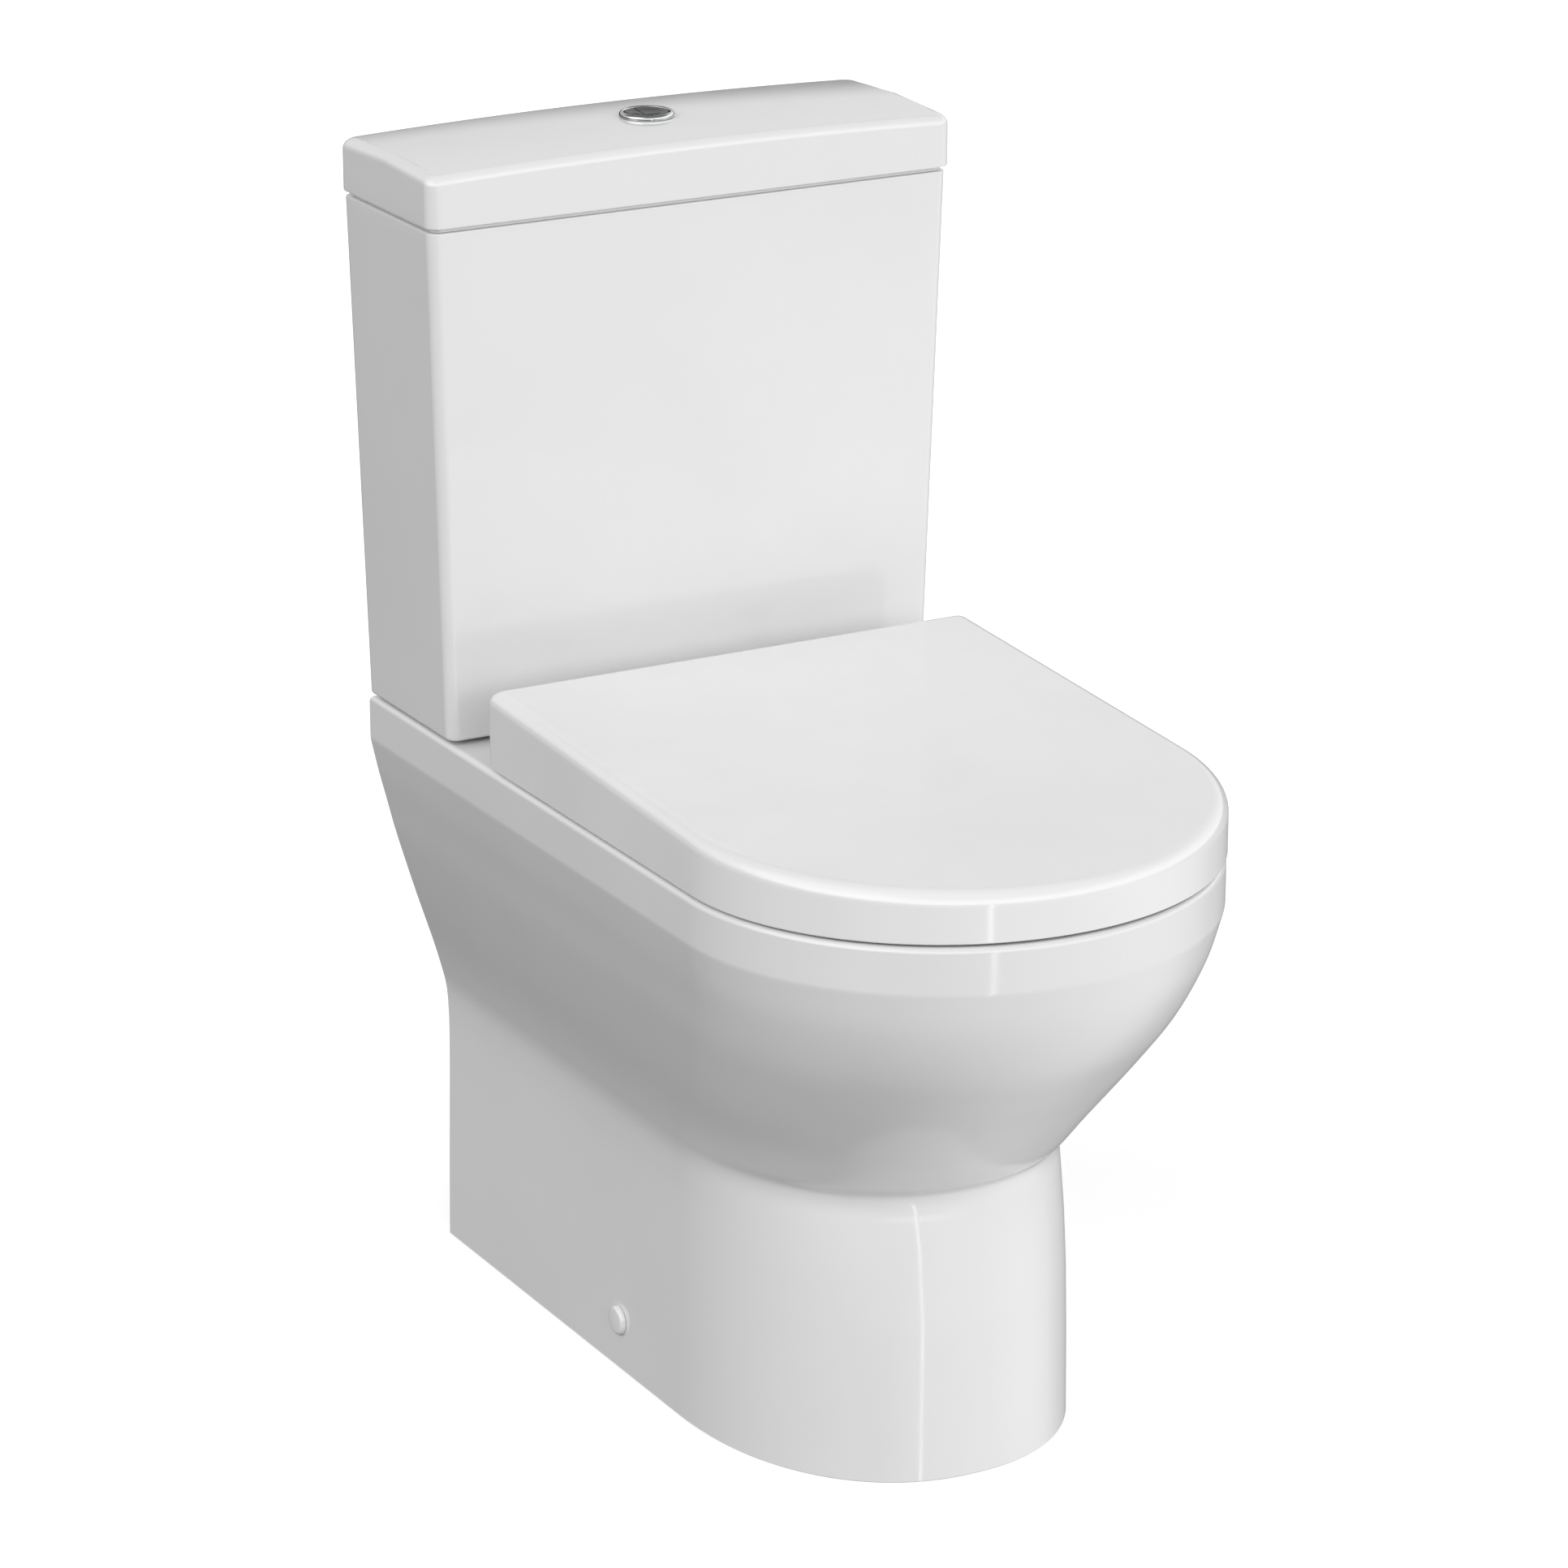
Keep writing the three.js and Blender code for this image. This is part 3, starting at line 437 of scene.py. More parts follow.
def glaze(name="china_glaze"):
    """White glazed vitreous china: faint mottling, slow waviness and rare pin specks."""
    mat, tree, bsdf, coords = nodes_for(name, (0.73, 0.732, 0.728), 0.08)
    broad = noise(tree, coords, 7.0, 3.0)
    tone = ramp(tree, broad.outputs["Fac"], (0.722, 0.724, 0.722), (0.740, 0.741, 0.738))
    specks = tree.nodes.new("ShaderNodeTexVoronoi")
    specks.inputs["Scale"].default_value = 130.0
    tree.links.new(coords.outputs["Object"], specks.inputs["Vector"])
    dots = ramp(tree, specks.outputs["Distance"], 0.94, 1.0, (0.03, 0.06))
    mix = tree.nodes.new("ShaderNodeMix")
    mix.data_type = "RGBA"
    mix.blend_type = "MULTIPLY"
    mix.inputs["Factor"].default_value = 1.0
    tree.links.new(tone.outputs["Color"], mix.inputs["A"])
    tree.links.new(dots.outputs["Color"], mix.inputs["B"])
    tree.links.new(mix.outputs["Result"], bsdf.inputs["Base Color"])
    fine = noise(tree, coords, 45.0, 4.0)
    sheen = ramp(tree, fine.outputs["Fac"], 0.07, 0.13)
    tree.links.new(sheen.outputs["Color"], bsdf.inputs["Roughness"])
    wave = noise(tree, coords, 16.0, 2.0)
    peel = noise(tree, coords, 240.0, 2.0)
    slow = bump(tree, wave.outputs["Fac"], 0.0006, 0.05)
    both = bump(tree, peel.outputs["Fac"], 0.00006, 0.10, slow.outputs["Normal"])
    tree.links.new(both.outputs["Normal"], bsdf.inputs["Normal"])
    bsdf.inputs["IOR"].default_value = 1.5
    bsdf.inputs["Coat Weight"].default_value = 0.25
    bsdf.inputs["Coat Roughness"].default_value = 0.04
    return mat


def moulded(name, colour, rough, spread=0.05, grain=600.0, depth=0.00003, coat=0.0):
    """Moulded plastic with a fine mould grain and slight sheen changes."""
    mat, tree, bsdf, coords = nodes_for(name, colour, rough)
    broad = noise(tree, coords, 12.0, 2.0)
    low = tuple(c * 0.985 for c in colour)
    high = tuple(min(c * 1.01, 1.0) for c in colour)
    tone = ramp(tree, broad.outputs["Fac"], low, high)
    tree.links.new(tone.outputs["Color"], bsdf.inputs["Base Color"])
    fine = noise(tree, coords, 90.0, 4.0)
    sheen = ramp(tree, fine.outputs["Fac"], max(rough - spread, 0.03), rough + spread)
    tree.links.new(sheen.outputs["Color"], bsdf.inputs["Roughness"])
    skin = noise(tree, coords, grain, 2.0)
    wave = noise(tree, coords, 22.0, 1.0)
    slow = bump(tree, wave.outputs["Fac"], 0.0004, 0.02)
    both = bump(tree, skin.outputs["Fac"], depth, 0.25, slow.outputs["Normal"])
    tree.links.new(both.outputs["Normal"], bsdf.inputs["Normal"])
    bsdf.inputs["Coat Weight"].default_value = coat
    return mat


def plated(name, colour, rough, brushed=None, wear=0.03):
    """Metal with fine handling marks, brushed along an axis where one is given."""
    mat, tree, bsdf, coords = nodes_for(name, colour, rough, 1.0)
    marks = noise(tree, coords, 320.0, 6.0, 0.7, brushed)
    sheen = ramp(tree, marks.outputs["Fac"], max(rough - wear, 0.02), rough + wear * 2)
    tree.links.new(sheen.outputs["Color"], bsdf.inputs["Roughness"])
    blot = noise(tree, coords, 60.0, 3.0)
    tone = ramp(tree, blot.outputs["Fac"], tuple(c * 0.92 for c in colour), colour)
    tree.links.new(tone.outputs["Color"], bsdf.inputs["Base Color"])
    rough_bump = bump(tree, marks.outputs["Fac"], 0.00002, 0.2)
    tree.links.new(rough_bump.outputs["Normal"], bsdf.inputs["Normal"])
    return mat


MATERIALS = {
    "china": glaze(),
    "seat_plastic": moulded("seat_gloss", (0.77, 0.772, 0.77), 0.09, 0.015, 420.0, 0.00001, 0.3),
    "valve_plastic": moulded("valve_pale", (0.74, 0.77, 0.79), 0.42, 0.07),
    "blue_plastic": moulded("valve_blue", (0.05, 0.16, 0.37), 0.42, 0.07),
    "grey_plastic": moulded("fitting_grey", (0.26, 0.29, 0.31), 0.45, 0.08),
    "rubber": moulded("rubber_black", (0.022, 0.022, 0.023), 0.75, 0.1, 500.0, 0.00008),
    "chrome": plated("chrome_plate", (0.56, 0.565, 0.57), 0.12),
    "steel": plated("steel_plain", (0.5, 0.51, 0.52), 0.3, (1, 1, 12), 0.06),
    "brass": plated("brass_plain", (0.55, 0.4, 0.14), 0.28, None, 0.06),
}

DARK_CHROME = plated("dark_chrome", (0.085, 0.087, 0.09), 0.10)
dark_bsdf = DARK_CHROME.node_tree.nodes["Principled BSDF"]
dark_bsdf.inputs["Specular Tint"].default_value = (0.7, 0.7, 0.7, 1)


def dress(obj, slot_name):
    obj.data.materials.clear()
    obj.data.materials.append(MATERIALS[slot_name])


def place(obj, body, replaced, slot_name, **soft):
    soften(obj, **soft)
    dress(obj, slot_name)
    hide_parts(replaced)
    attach(obj, body)
    return obj


# ---------------------------------------------------------------- pan


def pan_ring(z, inset, rear, steps=56):
    """Half outline of the pan's skin. Above the crease the rim band stands upright."""
    _, w, flat, tip, n = between(PAN_SKIN, min(z, RIM_CREASE))
    return d_half(w - inset, rear, flat, tip + inset, z, n, steps=steps, turn=1)


def pan_skin():
    """Outside of the pan: closely spaced outlines where the bowl meets the pedestal."""
    heights = [0.6]
    z = 6.0
    while z < RIM_CREASE - 3:
        heights.append(z)
        z += 2.0 if 170 < z < 236 else 5.0
    halves = [pan_ring(0.0, PAN_FOOT_ROUND, WALL_Y)]
    halves += [pan_ring(h, 0.0, WALL_Y) for h in heights]
    halves.append(pan_ring(RIM_CREASE - RIM_GROOVE, 0.0, WALL_Y))
    halves.append(pan_ring(RIM_CREASE, 0.12, WALL_Y))
    halves.append(pan_ring(RIM_CREASE + RIM_GROOVE, 0.0, WALL_Y))
    halves.append(pan_ring(RIM_TOP - RIM_EDGE - 8, 0.0, WALL_Y))
    for i in range(13):
        a = math.pi / 2 * i / 12
        inset = RIM_EDGE * (1 - math.cos(a))
        halves.append(pan_ring(RIM_TOP - RIM_EDGE + RIM_EDGE * math.sin(a), inset, WALL_Y - inset))
    return stack("pan_china", halves, mirror_x)


def pan_hollow():
    """The space under the deck, open to the floor and to the wall."""
    heights = [-1.0] + [float(z) for z in range(20, 384, 14)] + [DECK_UNDER]
    halves = [pan_ring(z, PAN_WALL, WALL_Y + 12, 30) for z in heights]
    return stack("cut", halves, mirror_x)


def basin(grow):
    """Inside of the bowl, or with grow the outside of its china."""
    halves = []
    top = RIM_TOP - 3 if grow else BASIN[-1][0]
    heights = [s[0] for s in BASIN if s[0] < 113]
    heights += list(range(118, BASIN_LIP, 7)) + [s[0] for s in BASIN if s[0] >= BASIN_LIP]
    for z in heights:
        if z > top:
            break
        _, w, rear, tip = between(BASIN, min(z, BASIN_LIP) if grow else z)
        w, rear, tip = w + grow, rear + grow, tip - grow
        low = z - grow if z == BASIN[0][0] else z
        halves.append(d_half(w, rear, (rear + tip) / 2, tip, low, corner=w * 0.7, steps=40, turn=20))
    return stack("bowl", halves, mirror_x)


# y and z of points along the middle of each passage
TRAP_PATH = [
    (-64, 146), (0, 146), (45, 172), (80, 226), (125, 268), (165, 262),
    (200, 222), (240, 187), (275, TRAP_Z), (300, TRAP_Z),
]
FLUSH_PATH = [(VALVE_Y, 384), (VALVE_Y - 4, 362), (VALVE_Y - 34, 346), (150, 345), (34, 352)]


def make_pan():
    """Skin less hollow, plus bowl, trap, flush way and boss, less their passages and holes."""
    body = combine(pan_skin(), [pan_hollow()], "DIFFERENCE")
    added = [
        basin(BOWL_THICKNESS), pipe("p", TRAP_OUTER, TRAP_PATH), pipe("p", FLUSH_OUTER, FLUSH_PATH),
        bar("p", VALVE_BOSS, 366, DECK_UNDER + 1, 0, VALVE_Y, 64),
    ]
    body = combine(body, added, "UNION")
    cuts = [
        basin(0), pipe("p", TRAP_BORE, TRAP_PATH + [(312, TRAP_Z)]),
        pipe("p", FLUSH_BORE, [(VALVE_Y, 396)] + FLUSH_PATH[1:4] + [(20, 352)]),
        bar("p", VALVE_RECESS, DECK_UNDER - 2, RIM_TOP + 1, 0, VALVE_Y, 64),
    ]
    deck = [(7, BOLT_X, VALVE_Y), (22, INLET_X, VALVE_Y), (6, HINGE_X, HINGE_Y - 15)]
    for side in (-1, 1):
        cuts += [bar("p", r, DECK_UNDER - 1, RIM_TOP + 1, side * x, y) for r, x, y in deck]
        x0, x1 = sorted((side * 100, side * 160))
        cuts.append(bar_x("p", 4, x0, x1, FIX_Y, FIX_Z))
    return combine(body, cuts, "DIFFERENCE")


place(make_pan(), "toilet", "pan", "china")

# ---------------------------------------------------------------- cistern


def tank_rise(z):
    return (z - TANK_BOTTOM) / (TANK_TOP - TANK_BOTTOM)


def tank_front(z):
    return TANK_FRONT_BOTTOM + (TANK_FRONT_TOP - TANK_FRONT_BOTTOM) * tank_rise(z)


def tank_ring(z, inset, corner=None):
    w = TANK_HALF_BOTTOM + (TANK_HALF_TOP - TANK_HALF_BOTTOM) * tank_rise(z)
    r = max(TANK_CORNER - inset, 3.0) if corner is None else corner
    return box_half(w - inset, tank_front(z) + inset, TANK_REAR - inset, r, z)


def mirror_tank(p):
    return (p[0], tank_front(p[2]) + TANK_REAR - p[1], p[2])


def make_tank():
    """The tank, wider and deeper towards its top, with four holes in its floor."""
    r = 2.5
    halves = []
    for i in range(6):
        a = math.pi / 2 * i / 5
        halves.append(tank_ring(TANK_BOTTOM + r - r * math.cos(a), r - r * math.sin(a), 6 + 2 * i / 5))
    halves += [tank_ring(z, 0.0) for z in (430, 480, 540, 600, 660, 710, 745, 753.6)]
    halves += [tank_ring(754.6, 0.35), tank_ring(TANK_TOP, 1.4)]
    inside = [tank_ring(TANK_INSIDE, TANK_WALL + 6, 6), tank_ring(TANK_INSIDE + 1, TANK_WALL + 3, 5)]
    inside += [tank_ring(TANK_INSIDE + 3, TANK_WALL + 1, 4), tank_ring(TANK_INSIDE + 8, TANK_WALL, 3)]
    inside += [tank_ring(600, TANK_WALL, 3), tank_ring(TANK_TOP + 1, TANK_WALL, 3)]
    cuts = [stack("cut", inside, mirror_tank), bar("p", 31.5, 400, 425, 0, VALVE_Y, 64)]
    cuts.append(bar("p", 11, 400, 425, INLET_X, VALVE_Y))
    cuts += [bar("p", 5.5, 400, 425, side * BOLT_X, VALVE_Y) for side in (-1, 1)]
    return combine(stack("cistern_china", halves, mirror_tank), cuts, "DIFFERENCE")


place(make_tank(), "toilet", "cistern_body", "china")


def crown(x, y):
    """Height of the lid's crowned top."""
    across = CROWN_ACROSS * (1 - (x / COVER_HALF) ** 2)
    deep = CROWN_DEEP * (1 - ((y - COVER_MID) / (COVER_REAR - COVER_MID)) ** 2)
    return COVER_EDGE_TOP + across + deep


def cover_ring(inset, z):
    r = max(COVER_CORNER - inset * 0.5, 3)
    return box_half(COVER_HALF - inset, COVER_FRONT + inset, COVER_REAR - inset, r, z)


def mirror_cover(p):
    return (p[0], 2 * COVER_MID - p[1], p[2])


def make_cover():
    """Crowned lid with a locating lip, a hollow underside and the button's hole."""
    halves = [cover_ring(1.4, COVER_BOTTOM), cover_ring(0.4, COVER_BOTTOM + 0.4)]
    halves += [cover_ring(0, COVER_BOTTOM + 1.4), cover_ring(0, COVER_BOTTOM + 14)]
    for i in range(13):
        a = math.pi / 2 * i / 12
        inset = COVER_ROUND * (1 - math.cos(a))
        drop = COVER_ROUND * (1 - math.sin(a))
        halves.append(cover_ring(inset, lambda x, y, d=drop: crown(x, y) - d))
    body = stack("cistern_cover_china", halves, mirror_cover, crown)
    rim = stack("p", [cover_ring(5, TANK_TOP + 0.3), cover_ring(5, COVER_BOTTOM + 2)], mirror_cover)
    lip = stack("p", [cover_ring(12.5, TANK_TOP - 7), cover_ring(12.5, COVER_BOTTOM + 2)], mirror_cover)
    body = combine(body, [rim, lip], "UNION")
    hollow = [(17, TANK_TOP - 9), (17, COVER_UNDER - 5), (19, COVER_UNDER - 1), (22, COVER_UNDER)]
    cuts = [stack("p", [cover_ring(inset, z) for inset, z in hollow], mirror_cover)]
    cuts.append(bar("p", 17, COVER_UNDER - 2, LID_TOP + 4, 0, VALVE_Y, 72))
    return combine(body, cuts, "DIFFERENCE")


place(make_cover(), "cistern_cover", "cistern_lid", "china")

# ---------------------------------------------------------------- flush buttons


def make_bezel():
    """Ring around the buttons, in one piece with the cup that holds them."""
    r = BEZEL_R
    t = LID_TOP
    body = turned("bezel_chrome", [
        (0, 768), (16.4, 768), (16.6, 768.3), (16.6, t + 0.3), (r, t + 0.3), (r, t + 1.4),
        (r - 0.3, t + 2.2), (r - 0.9, t + 2.9), (r - 1.6, t + 3.3), (r - 2.3, t + 3.4),
        (15.6, t + 3.0), (15.3, t + 2.4), (15.3, 771), (0, 771),
    ], 0, VALVE_Y, 96)
    cuts = [bar("p", 3.1, 760, 780, x, VALVE_Y) for x in (-ROD_X, ROD_X)]
    return combine(body, cuts, "DIFFERENCE")


place(make_bezel(), "cistern_cover", "button_bezel", "chrome", angle=40)


def make_button(side, name):
    """One part of the split button, dished, with its rod."""
    r, t = BUTTON_R, BUTTON_TOP
    body = turned(name, [
        (0, 781), (r, 781), (r, t - 1.5), (r - 0.25, t - 0.9), (r - 0.8, t - 0.4),
        (r - 2, t - 0.25), (r - 6, t - 0.9), (r - 10, t - 1.3), (0, t - 1.4),
    ], 0, VALVE_Y, 96)
    edge = BUTTON_EDGE_X + side * 0.35
    x0, x1 = sorted((edge, edge + side * 60))
    body = combine(body, [block("p", x0, x1, VALVE_Y - 40, VALVE_Y + 40, 770, 820)], "INTERSECT")
    return combine(body, [bar("p", 2.4, 728, 784, side * ROD_X, VALVE_Y, 32)], "UNION")


for button_side, which in ((1, "full"), (-1, "half")):
    button = make_button(button_side, which + "_button_chrome")
    place(button, which + "_button", which + "_flush_button", "chrome", angle=32, bevel=0.25)
    button.data.materials[0] = DARK_CHROME

# ---------------------------------------------------------------- seat lid and ring


def seat_top(y):
    return SEAT_TOP_FRONT + (SEAT_TOP_REAR - SEAT_TOP_FRONT) * (y - SEAT_TIP) / (SEAT_REAR - SEAT_TIP)


def seat_ring_at(inset, z, corner):
    return d_half(SEAT_HALF - inset, SEAT_REAR - inset, SEAT_FLAT_END, SEAT_TIP + inset, z,
                  corner=corner, steps=64, turn=10)


def seat_shape(skin, bottom, edge):
    """The lid's outside, or with skin its inside. edge rounds its lower rim."""
    rnd = SEAT_ROUND - skin * 0.5
    halves = []
    if edge:
        for i in range(4):
            a = math.pi / 2 * i / 3
            halves.append(seat_ring_at(1.2 * (1 - math.sin(a)), bottom + 1.2 * (1 - math.cos(a)), 6))
    else:
        halves.append(seat_ring_at(skin, bottom, 2))
    for i in range(15):
        a = math.pi / 2 * i / 14
        inset = skin + rnd * (1 - math.cos(a))
        drop = skin + rnd * (1 - math.sin(a))
        corner = max(6 - inset * 0.3, 2)
        halves.append(seat_ring_at(inset, lambda x, y, d=drop: seat_top(y) - d, corner))
    return stack("seat_lid_gloss" if edge else "p", halves, mirror_x)


def make_seat_lid():
    """Wrap-over lid with a rounded heel, clear of the hinge posts, and two knuckles."""
    y, z = SEAT_REAR - HEEL_R, SEAT_BOTTOM + HEEL_R
    heel = block("p", -200, 200, y, SEAT_REAR + 8, SEAT_BOTTOM - 5, z)
    heel = combine(heel, [bar_x("p", HEEL_R, -210, 210, y, z, 96)], "DIFFERENCE")
    cuts = [seat_shape(SEAT_WALL, SEAT_BOTTOM - 5, False), heel]
    cuts.append(block("p", -172, 172, HINGE_Y, SEAT_REAR + 5, SEAT_BOTTOM - 5, HINGE_Z - 12))
    for side in (-1, 1):
        post = side * HINGE_X
        cuts.append(block("p", post - 10.5, post + 10.5, HINGE_Y + 5, SEAT_REAR + 5, 415, 450))
    body = combine(seat_shape(0, SEAT_BOTTOM, True), cuts, "DIFFERENCE")
    hubs, holes = [], []
    for side in (-1, 1):
        x0 = side * LID_KNUCKLE_X - KNUCKLE_WIDTH / 2
        x1 = x0 + KNUCKLE_WIDTH
        hubs.append(block("p", x0, x1, HINGE_Y - 7, HINGE_Y + 7, HINGE_Z, SEAT_TOP_REAR - 3.2))
        hubs.append(bar_x("p", KNUCKLE_R, x0, x1, HINGE_Y, HINGE_Z))
        holes.append(bar_x("p", PIN_HOLE_R, x0 - 1, x1 + 1, HINGE_Y, HINGE_Z))
    body = combine(body, hubs, "UNION")
    return combine(body, holes, "DIFFERENCE")


place(make_seat_lid(), "lid", "seat_lid", "seat_plastic")


def ring_at(inset, z):
    return d_half(RING_HALF - inset, RING_REAR - inset, RING_FLAT_END, RING_TIP + inset, z,
                  corner=12, steps=56, turn=12)


def make_seat_ring():
    """Ring with a rounded inner edge and two arms that end in knuckles."""
    halves = []
    for i in range(5):
        a = math.pi / 2 * i / 4
        halves.append(ring_at(2 * (1 - math.sin(a)), RING_BOTTOM + 2 * (1 - math.cos(a))))
    for i in range(11):
        a = math.pi / 2 * i / 10
        inset = RING_EDGE * (1 - math.cos(a))
        halves.append(ring_at(inset, RING_TOP - RING_EDGE + RING_EDGE * math.sin(a)))
    body = stack("seat_ring_gloss", halves, mirror_x)
    levels = [(2, -1), (2, 0), (0.6, 1), (0, 3), (0, 10.5)]
    for i in range(1, 9):
        a = math.pi / 2 * i / 8
        wider = RING_HOLE_ROUND * (1 - math.cos(a))
        levels.append((wider, 9.6 + RING_HOLE_ROUND * math.sin(a)))
    levels.append((RING_HOLE_ROUND, 18))
    hole = []
    for g, up in levels:
        hole.append(d_half(RING_HOLE_HALF + g, RING_HOLE_REAR + g, RING_HOLE_FLAT_END,
                           RING_HOLE_TIP - g, RING_BOTTOM + up, corner=60, steps=48, turn=24))
    body = combine(body, [stack("p", hole, mirror_x)], "DIFFERENCE")
    arm = [(74, 418), (88, 418), (94, 429), (HINGE_Y, 429), (HINGE_Y, 439), (88, 439), (74, 427)]
    adds, holes = [], []
    for side in (-1, 1):
        x0 = side * RING_KNUCKLE_X - KNUCKLE_WIDTH / 2
        x1 = x0 + KNUCKLE_WIDTH
        v = [(x, y, z) for x in (x0, x1) for y, z in arm]
        m = len(arm)
        f = [tuple(range(m)), tuple(reversed(range(m, 2 * m)))]
        f += [(i, m + i, m + (i + 1) % m, (i + 1) % m) for i in range(m)]
        adds.append(weld(mesh_object("p", v, f)))
        adds.append(bar_x("p", KNUCKLE_R, x0, x1, HINGE_Y, HINGE_Z))
        holes.append(bar_x("p", PIN_HOLE_R, x0 - 1, x1 + 1, HINGE_Y, HINGE_Z))
    body = combine(body, adds, "UNION")
    return combine(body, holes, "DIFFERENCE")


place(make_seat_ring(), "ring", "seat_ring", "seat_plastic")

# ---------------------------------------------------------------- side caps


def make_cap(side, name):
    """Hollow flat-faced cap with a rounded edge, over the head of a side screw."""
    profile = [(0, 2.6), (6.6, 2.5), (8.2, 1.8), (8.6, 0.3), (CAP_R, 0.3)]
    for i in range(9):
        a = math.pi / 2 * i / 8
        r = CAP_R - CAP_ROUND + CAP_ROUND * math.cos(a)
        profile.append((r, 1.2 + CAP_ROUND * math.sin(a)))
    profile += [(6, 3.9), (3, 4.02), (0, 4.06)]
    obj = turned(name, profile, 0, 0, 72)
    foot = between(PAN_SKIN, FIX_Z)[1]
    for v in obj.data.vertices:
        a, b, c = v.co
        v.co = (side * (foot * MM + c), FIX_Y * MM + a, FIX_Z * MM + b)
    return weld(obj)


place(make_cap(-1, "cap_left_gloss"), "toilet", "side_cap_left", "seat_plastic", angle=40)
place(make_cap(1, "cap_right_gloss"), "toilet", "side_cap_right", "seat_plastic", angle=40)

# ---------------------------------------------------------------- fittings kept from the CAD

SLOTS = {s["node"]: s["material_slot"] for s in frame["record"]["subparts"]}
REPLACED = {
    "pan", "cistern_body", "cistern_lid", "button_bezel", "full_flush_button",
    "half_flush_button", "seat_lid", "seat_ring", "side_cap_left", "side_cap_right",
}
for node, obj in frame["nodes"].items():
    if node in REPLACED:
        continue
    obj.data.materials.clear()
    obj.data.materials.append(MATERIALS[SLOTS[node]])
    mod = obj.modifiers.new("round", "BEVEL")
    mod.width = 0.0003
    mod.segments = 2
    mod.limit_method = "ANGLE"
    mod.angle_limit = math.radians(40)
    mod.use_clamp_overlap = True

# ---------------------------------------------------------------- studio


def plain(name, colour, rough):
    """Matt backdrop, lit a little from within so that its shadows stay faint."""
    mat, tree, bsdf, coords = nodes_for(name, colour, rough)
    n = noise(tree, coords, 3.0, 4.0)
    tone = ramp(tree, n.outputs["Fac"], tuple(c * 0.99 for c in colour), colour)
    tree.links.new(tone.outputs["Color"], bsdf.inputs["Base Color"])
    bsdf.inputs["Specular IOR Level"].default_value = 0.15
    bsdf.inputs["Emission Color"].default_value = (1, 1, 1, 1)
    bsdf.inputs["Emission Strength"].default_value = 0.34
    return mat


FLOOR_HALF = 6000
FLOOR_SIGNS = [(-1, -1), (1, -1), (1, 1), (-1, 1)]
floor_corners = [(sx * FLOOR_HALF, sy * FLOOR_HALF, -0.2) for sx, sy in FLOOR_SIGNS]
floor = mesh_object("floor", floor_corners, [(0, 1, 2, 3)])
floor.data.materials.append(plain("floor_pale", (0.93, 0.93, 0.93), 0.9))
floor.visible_diffuse = False
floor.visible_glossy = False


# brightness of the studio: a dim ground, a wall that is brightest in front, a darker ceiling,
# one narrow upright strip and three soft boxes
DARK = 0.03
WALL_LOW = 0.05
WALL_HIGH = WALL_LOW + 0.16
CEILING_DROP = 0.85
CEILING_EDGE = (0.40, 0.78)
SKY_MEAN = 1.56
SKY_LEAN = (-0.02, -0.94, 0)
SKY_LEAST = 0.3
STRIP_AZ = math.radians(-7.5)
STRIP_GLOW = 3.0
STRIP_EDGE = (0.011, 0.024)
# each soft box: direction, lean at which its glow starts and is full, brightness
SOFT_BOXES = [
    ((0.45, -0.62, -0.64), 0.42, 0.98, 0.95),
    ((-0.80, -0.14, 0.58), 0.75, 0.97, 1.3),
    ((0.88, 0.10, -0.46), 0.3, 0.9, 0.45),
]

world = bpy.data.worlds.new("studio")
bpy.context.scene.world = world
world.use_nodes = True
sky = world.node_tree
sky_coords = sky.nodes.new("ShaderNodeTexCoord")


def calc(operation, a, b):
    """One sum in the studio's brightness. a and b are numbers or sockets."""
    n = sky.nodes.new("ShaderNodeMath")
    n.operation = operation
    for socket, value in zip(n.inputs, (a, b)):
        if isinstance(value, (int, float)):
            socket.default_value = value
        else:
            sky.links.new(value, socket)
    return n.outputs["Value"]


def toward(x, y, z):
    """How far a direction leans towards (x, y, z)."""
    n = sky.nodes.new("ShaderNodeVectorMath")
    n.operation = "DOT_PRODUCT"
    n.inputs[1].default_value = (x, y, z)
    sky.links.new(sky_coords.outputs["Generated"], n.inputs[0])
    return n.outputs["Value"]


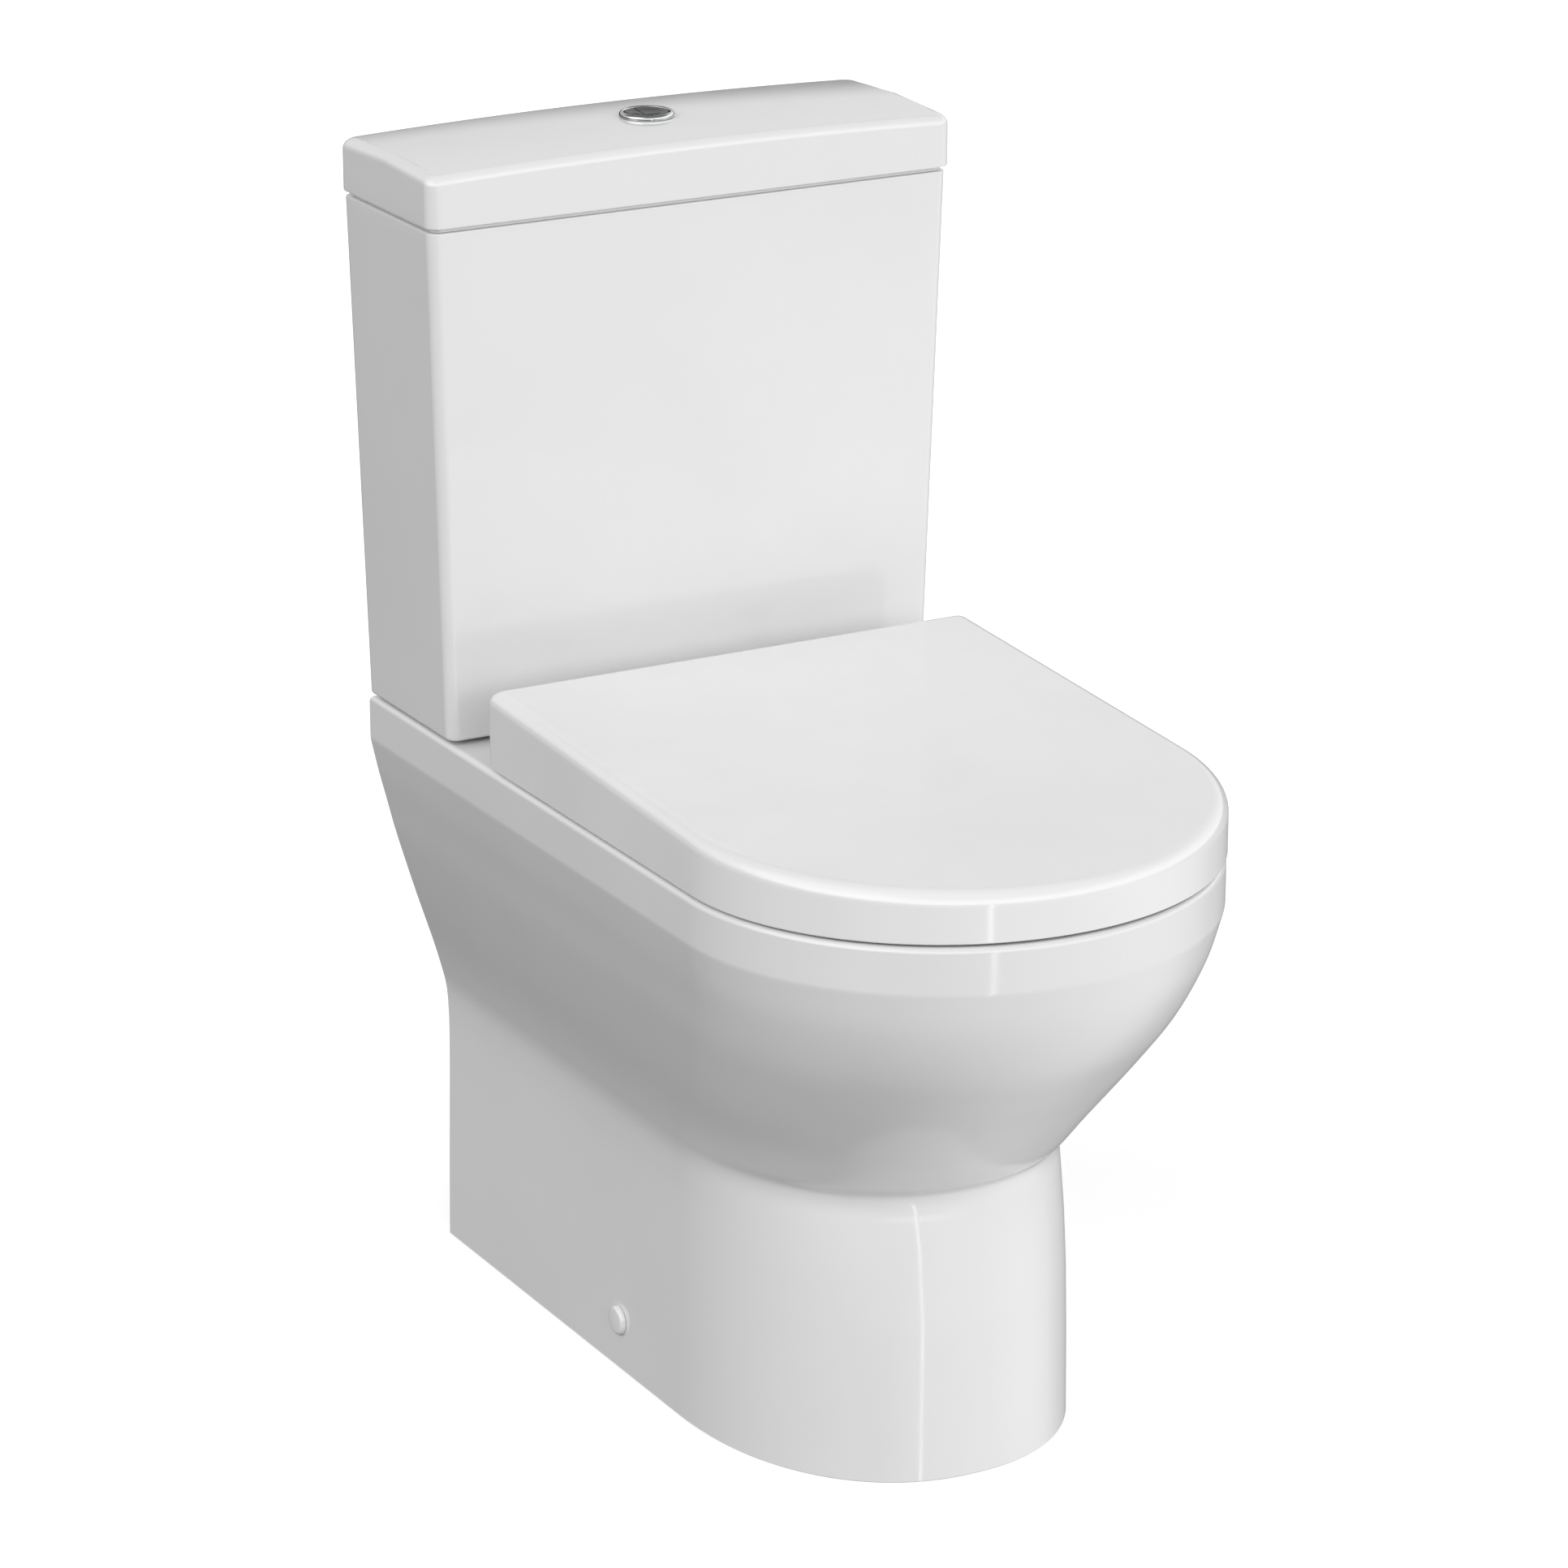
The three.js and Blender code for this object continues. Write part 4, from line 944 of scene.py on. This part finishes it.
def step(value, low, high):
    """Smooth change from 0 at low to 1 at high."""
    n = sky.nodes.new("ShaderNodeMapRange")
    n.interpolation_type = "SMOOTHSTEP"
    n.inputs["From Min"].default_value = low
    n.inputs["From Max"].default_value = high
    sky.links.new(value, n.inputs["Value"])
    return n.outputs["Result"]


height = toward(0, 0, 1)
wall = step(height, WALL_LOW, WALL_HIGH)
ceiling = calc("MULTIPLY", step(height, *CEILING_EDGE), CEILING_DROP)
level = calc("ADD", DARK, calc("MULTIPLY", wall, calc("SUBTRACT", 1.0, ceiling)))
tilt = calc("MAXIMUM", calc("ADD", SKY_MEAN, toward(*SKY_LEAN)), SKY_LEAST)
strip_side = calc("ABSOLUTE", toward(math.cos(STRIP_AZ), math.sin(STRIP_AZ), 0), 0)
strip = calc("SUBTRACT", 1.0, step(strip_side, *STRIP_EDGE))
strip = calc("MULTIPLY", strip, step(toward(math.sin(STRIP_AZ), -math.cos(STRIP_AZ), 0), 0.3, 0.6))
strip = calc("MULTIPLY", strip, step(height, -0.68, -0.55))
strip = calc("MULTIPLY", strip, calc("SUBTRACT", 1.0, step(height, 0.05, 0.2)))
glow = calc("ADD", calc("MULTIPLY", level, tilt), calc("MULTIPLY", strip, STRIP_GLOW))
for lean, outer, inner, bright in SOFT_BOXES:
    box_glow = step(toward(*lean), outer, inner)
    glow = calc("ADD", glow, calc("MULTIPLY", box_glow, bright))
sky.links.new(glow, sky.nodes["Background"].inputs["Strength"])
sky.nodes["Background"].inputs["Color"].default_value = (1, 1, 1, 1)

# ---------------------------------------------------------------- camera

CAMERA_AT = Vector((-1.76263, -3.13269, 1.63829))
LOOK_AT = Vector((-0.028048, 0.011595, 0.409265))
LENS = 134.93

cam_data = bpy.data.cameras.new("camera")
cam_data.lens = LENS
cam_data.sensor_width = 36
cam_data.clip_end = 100
cam = bpy.data.objects.new("camera", cam_data)
bpy.context.scene.collection.objects.link(cam)
cam.location = CAMERA_AT
cam.rotation_mode = "QUATERNION"
cam.rotation_quaternion = (LOOK_AT - cam.location).to_track_quat("-Z", "Y")
bpy.context.scene.camera = cam
bpy.context.scene.view_settings.view_transform = "Standard"
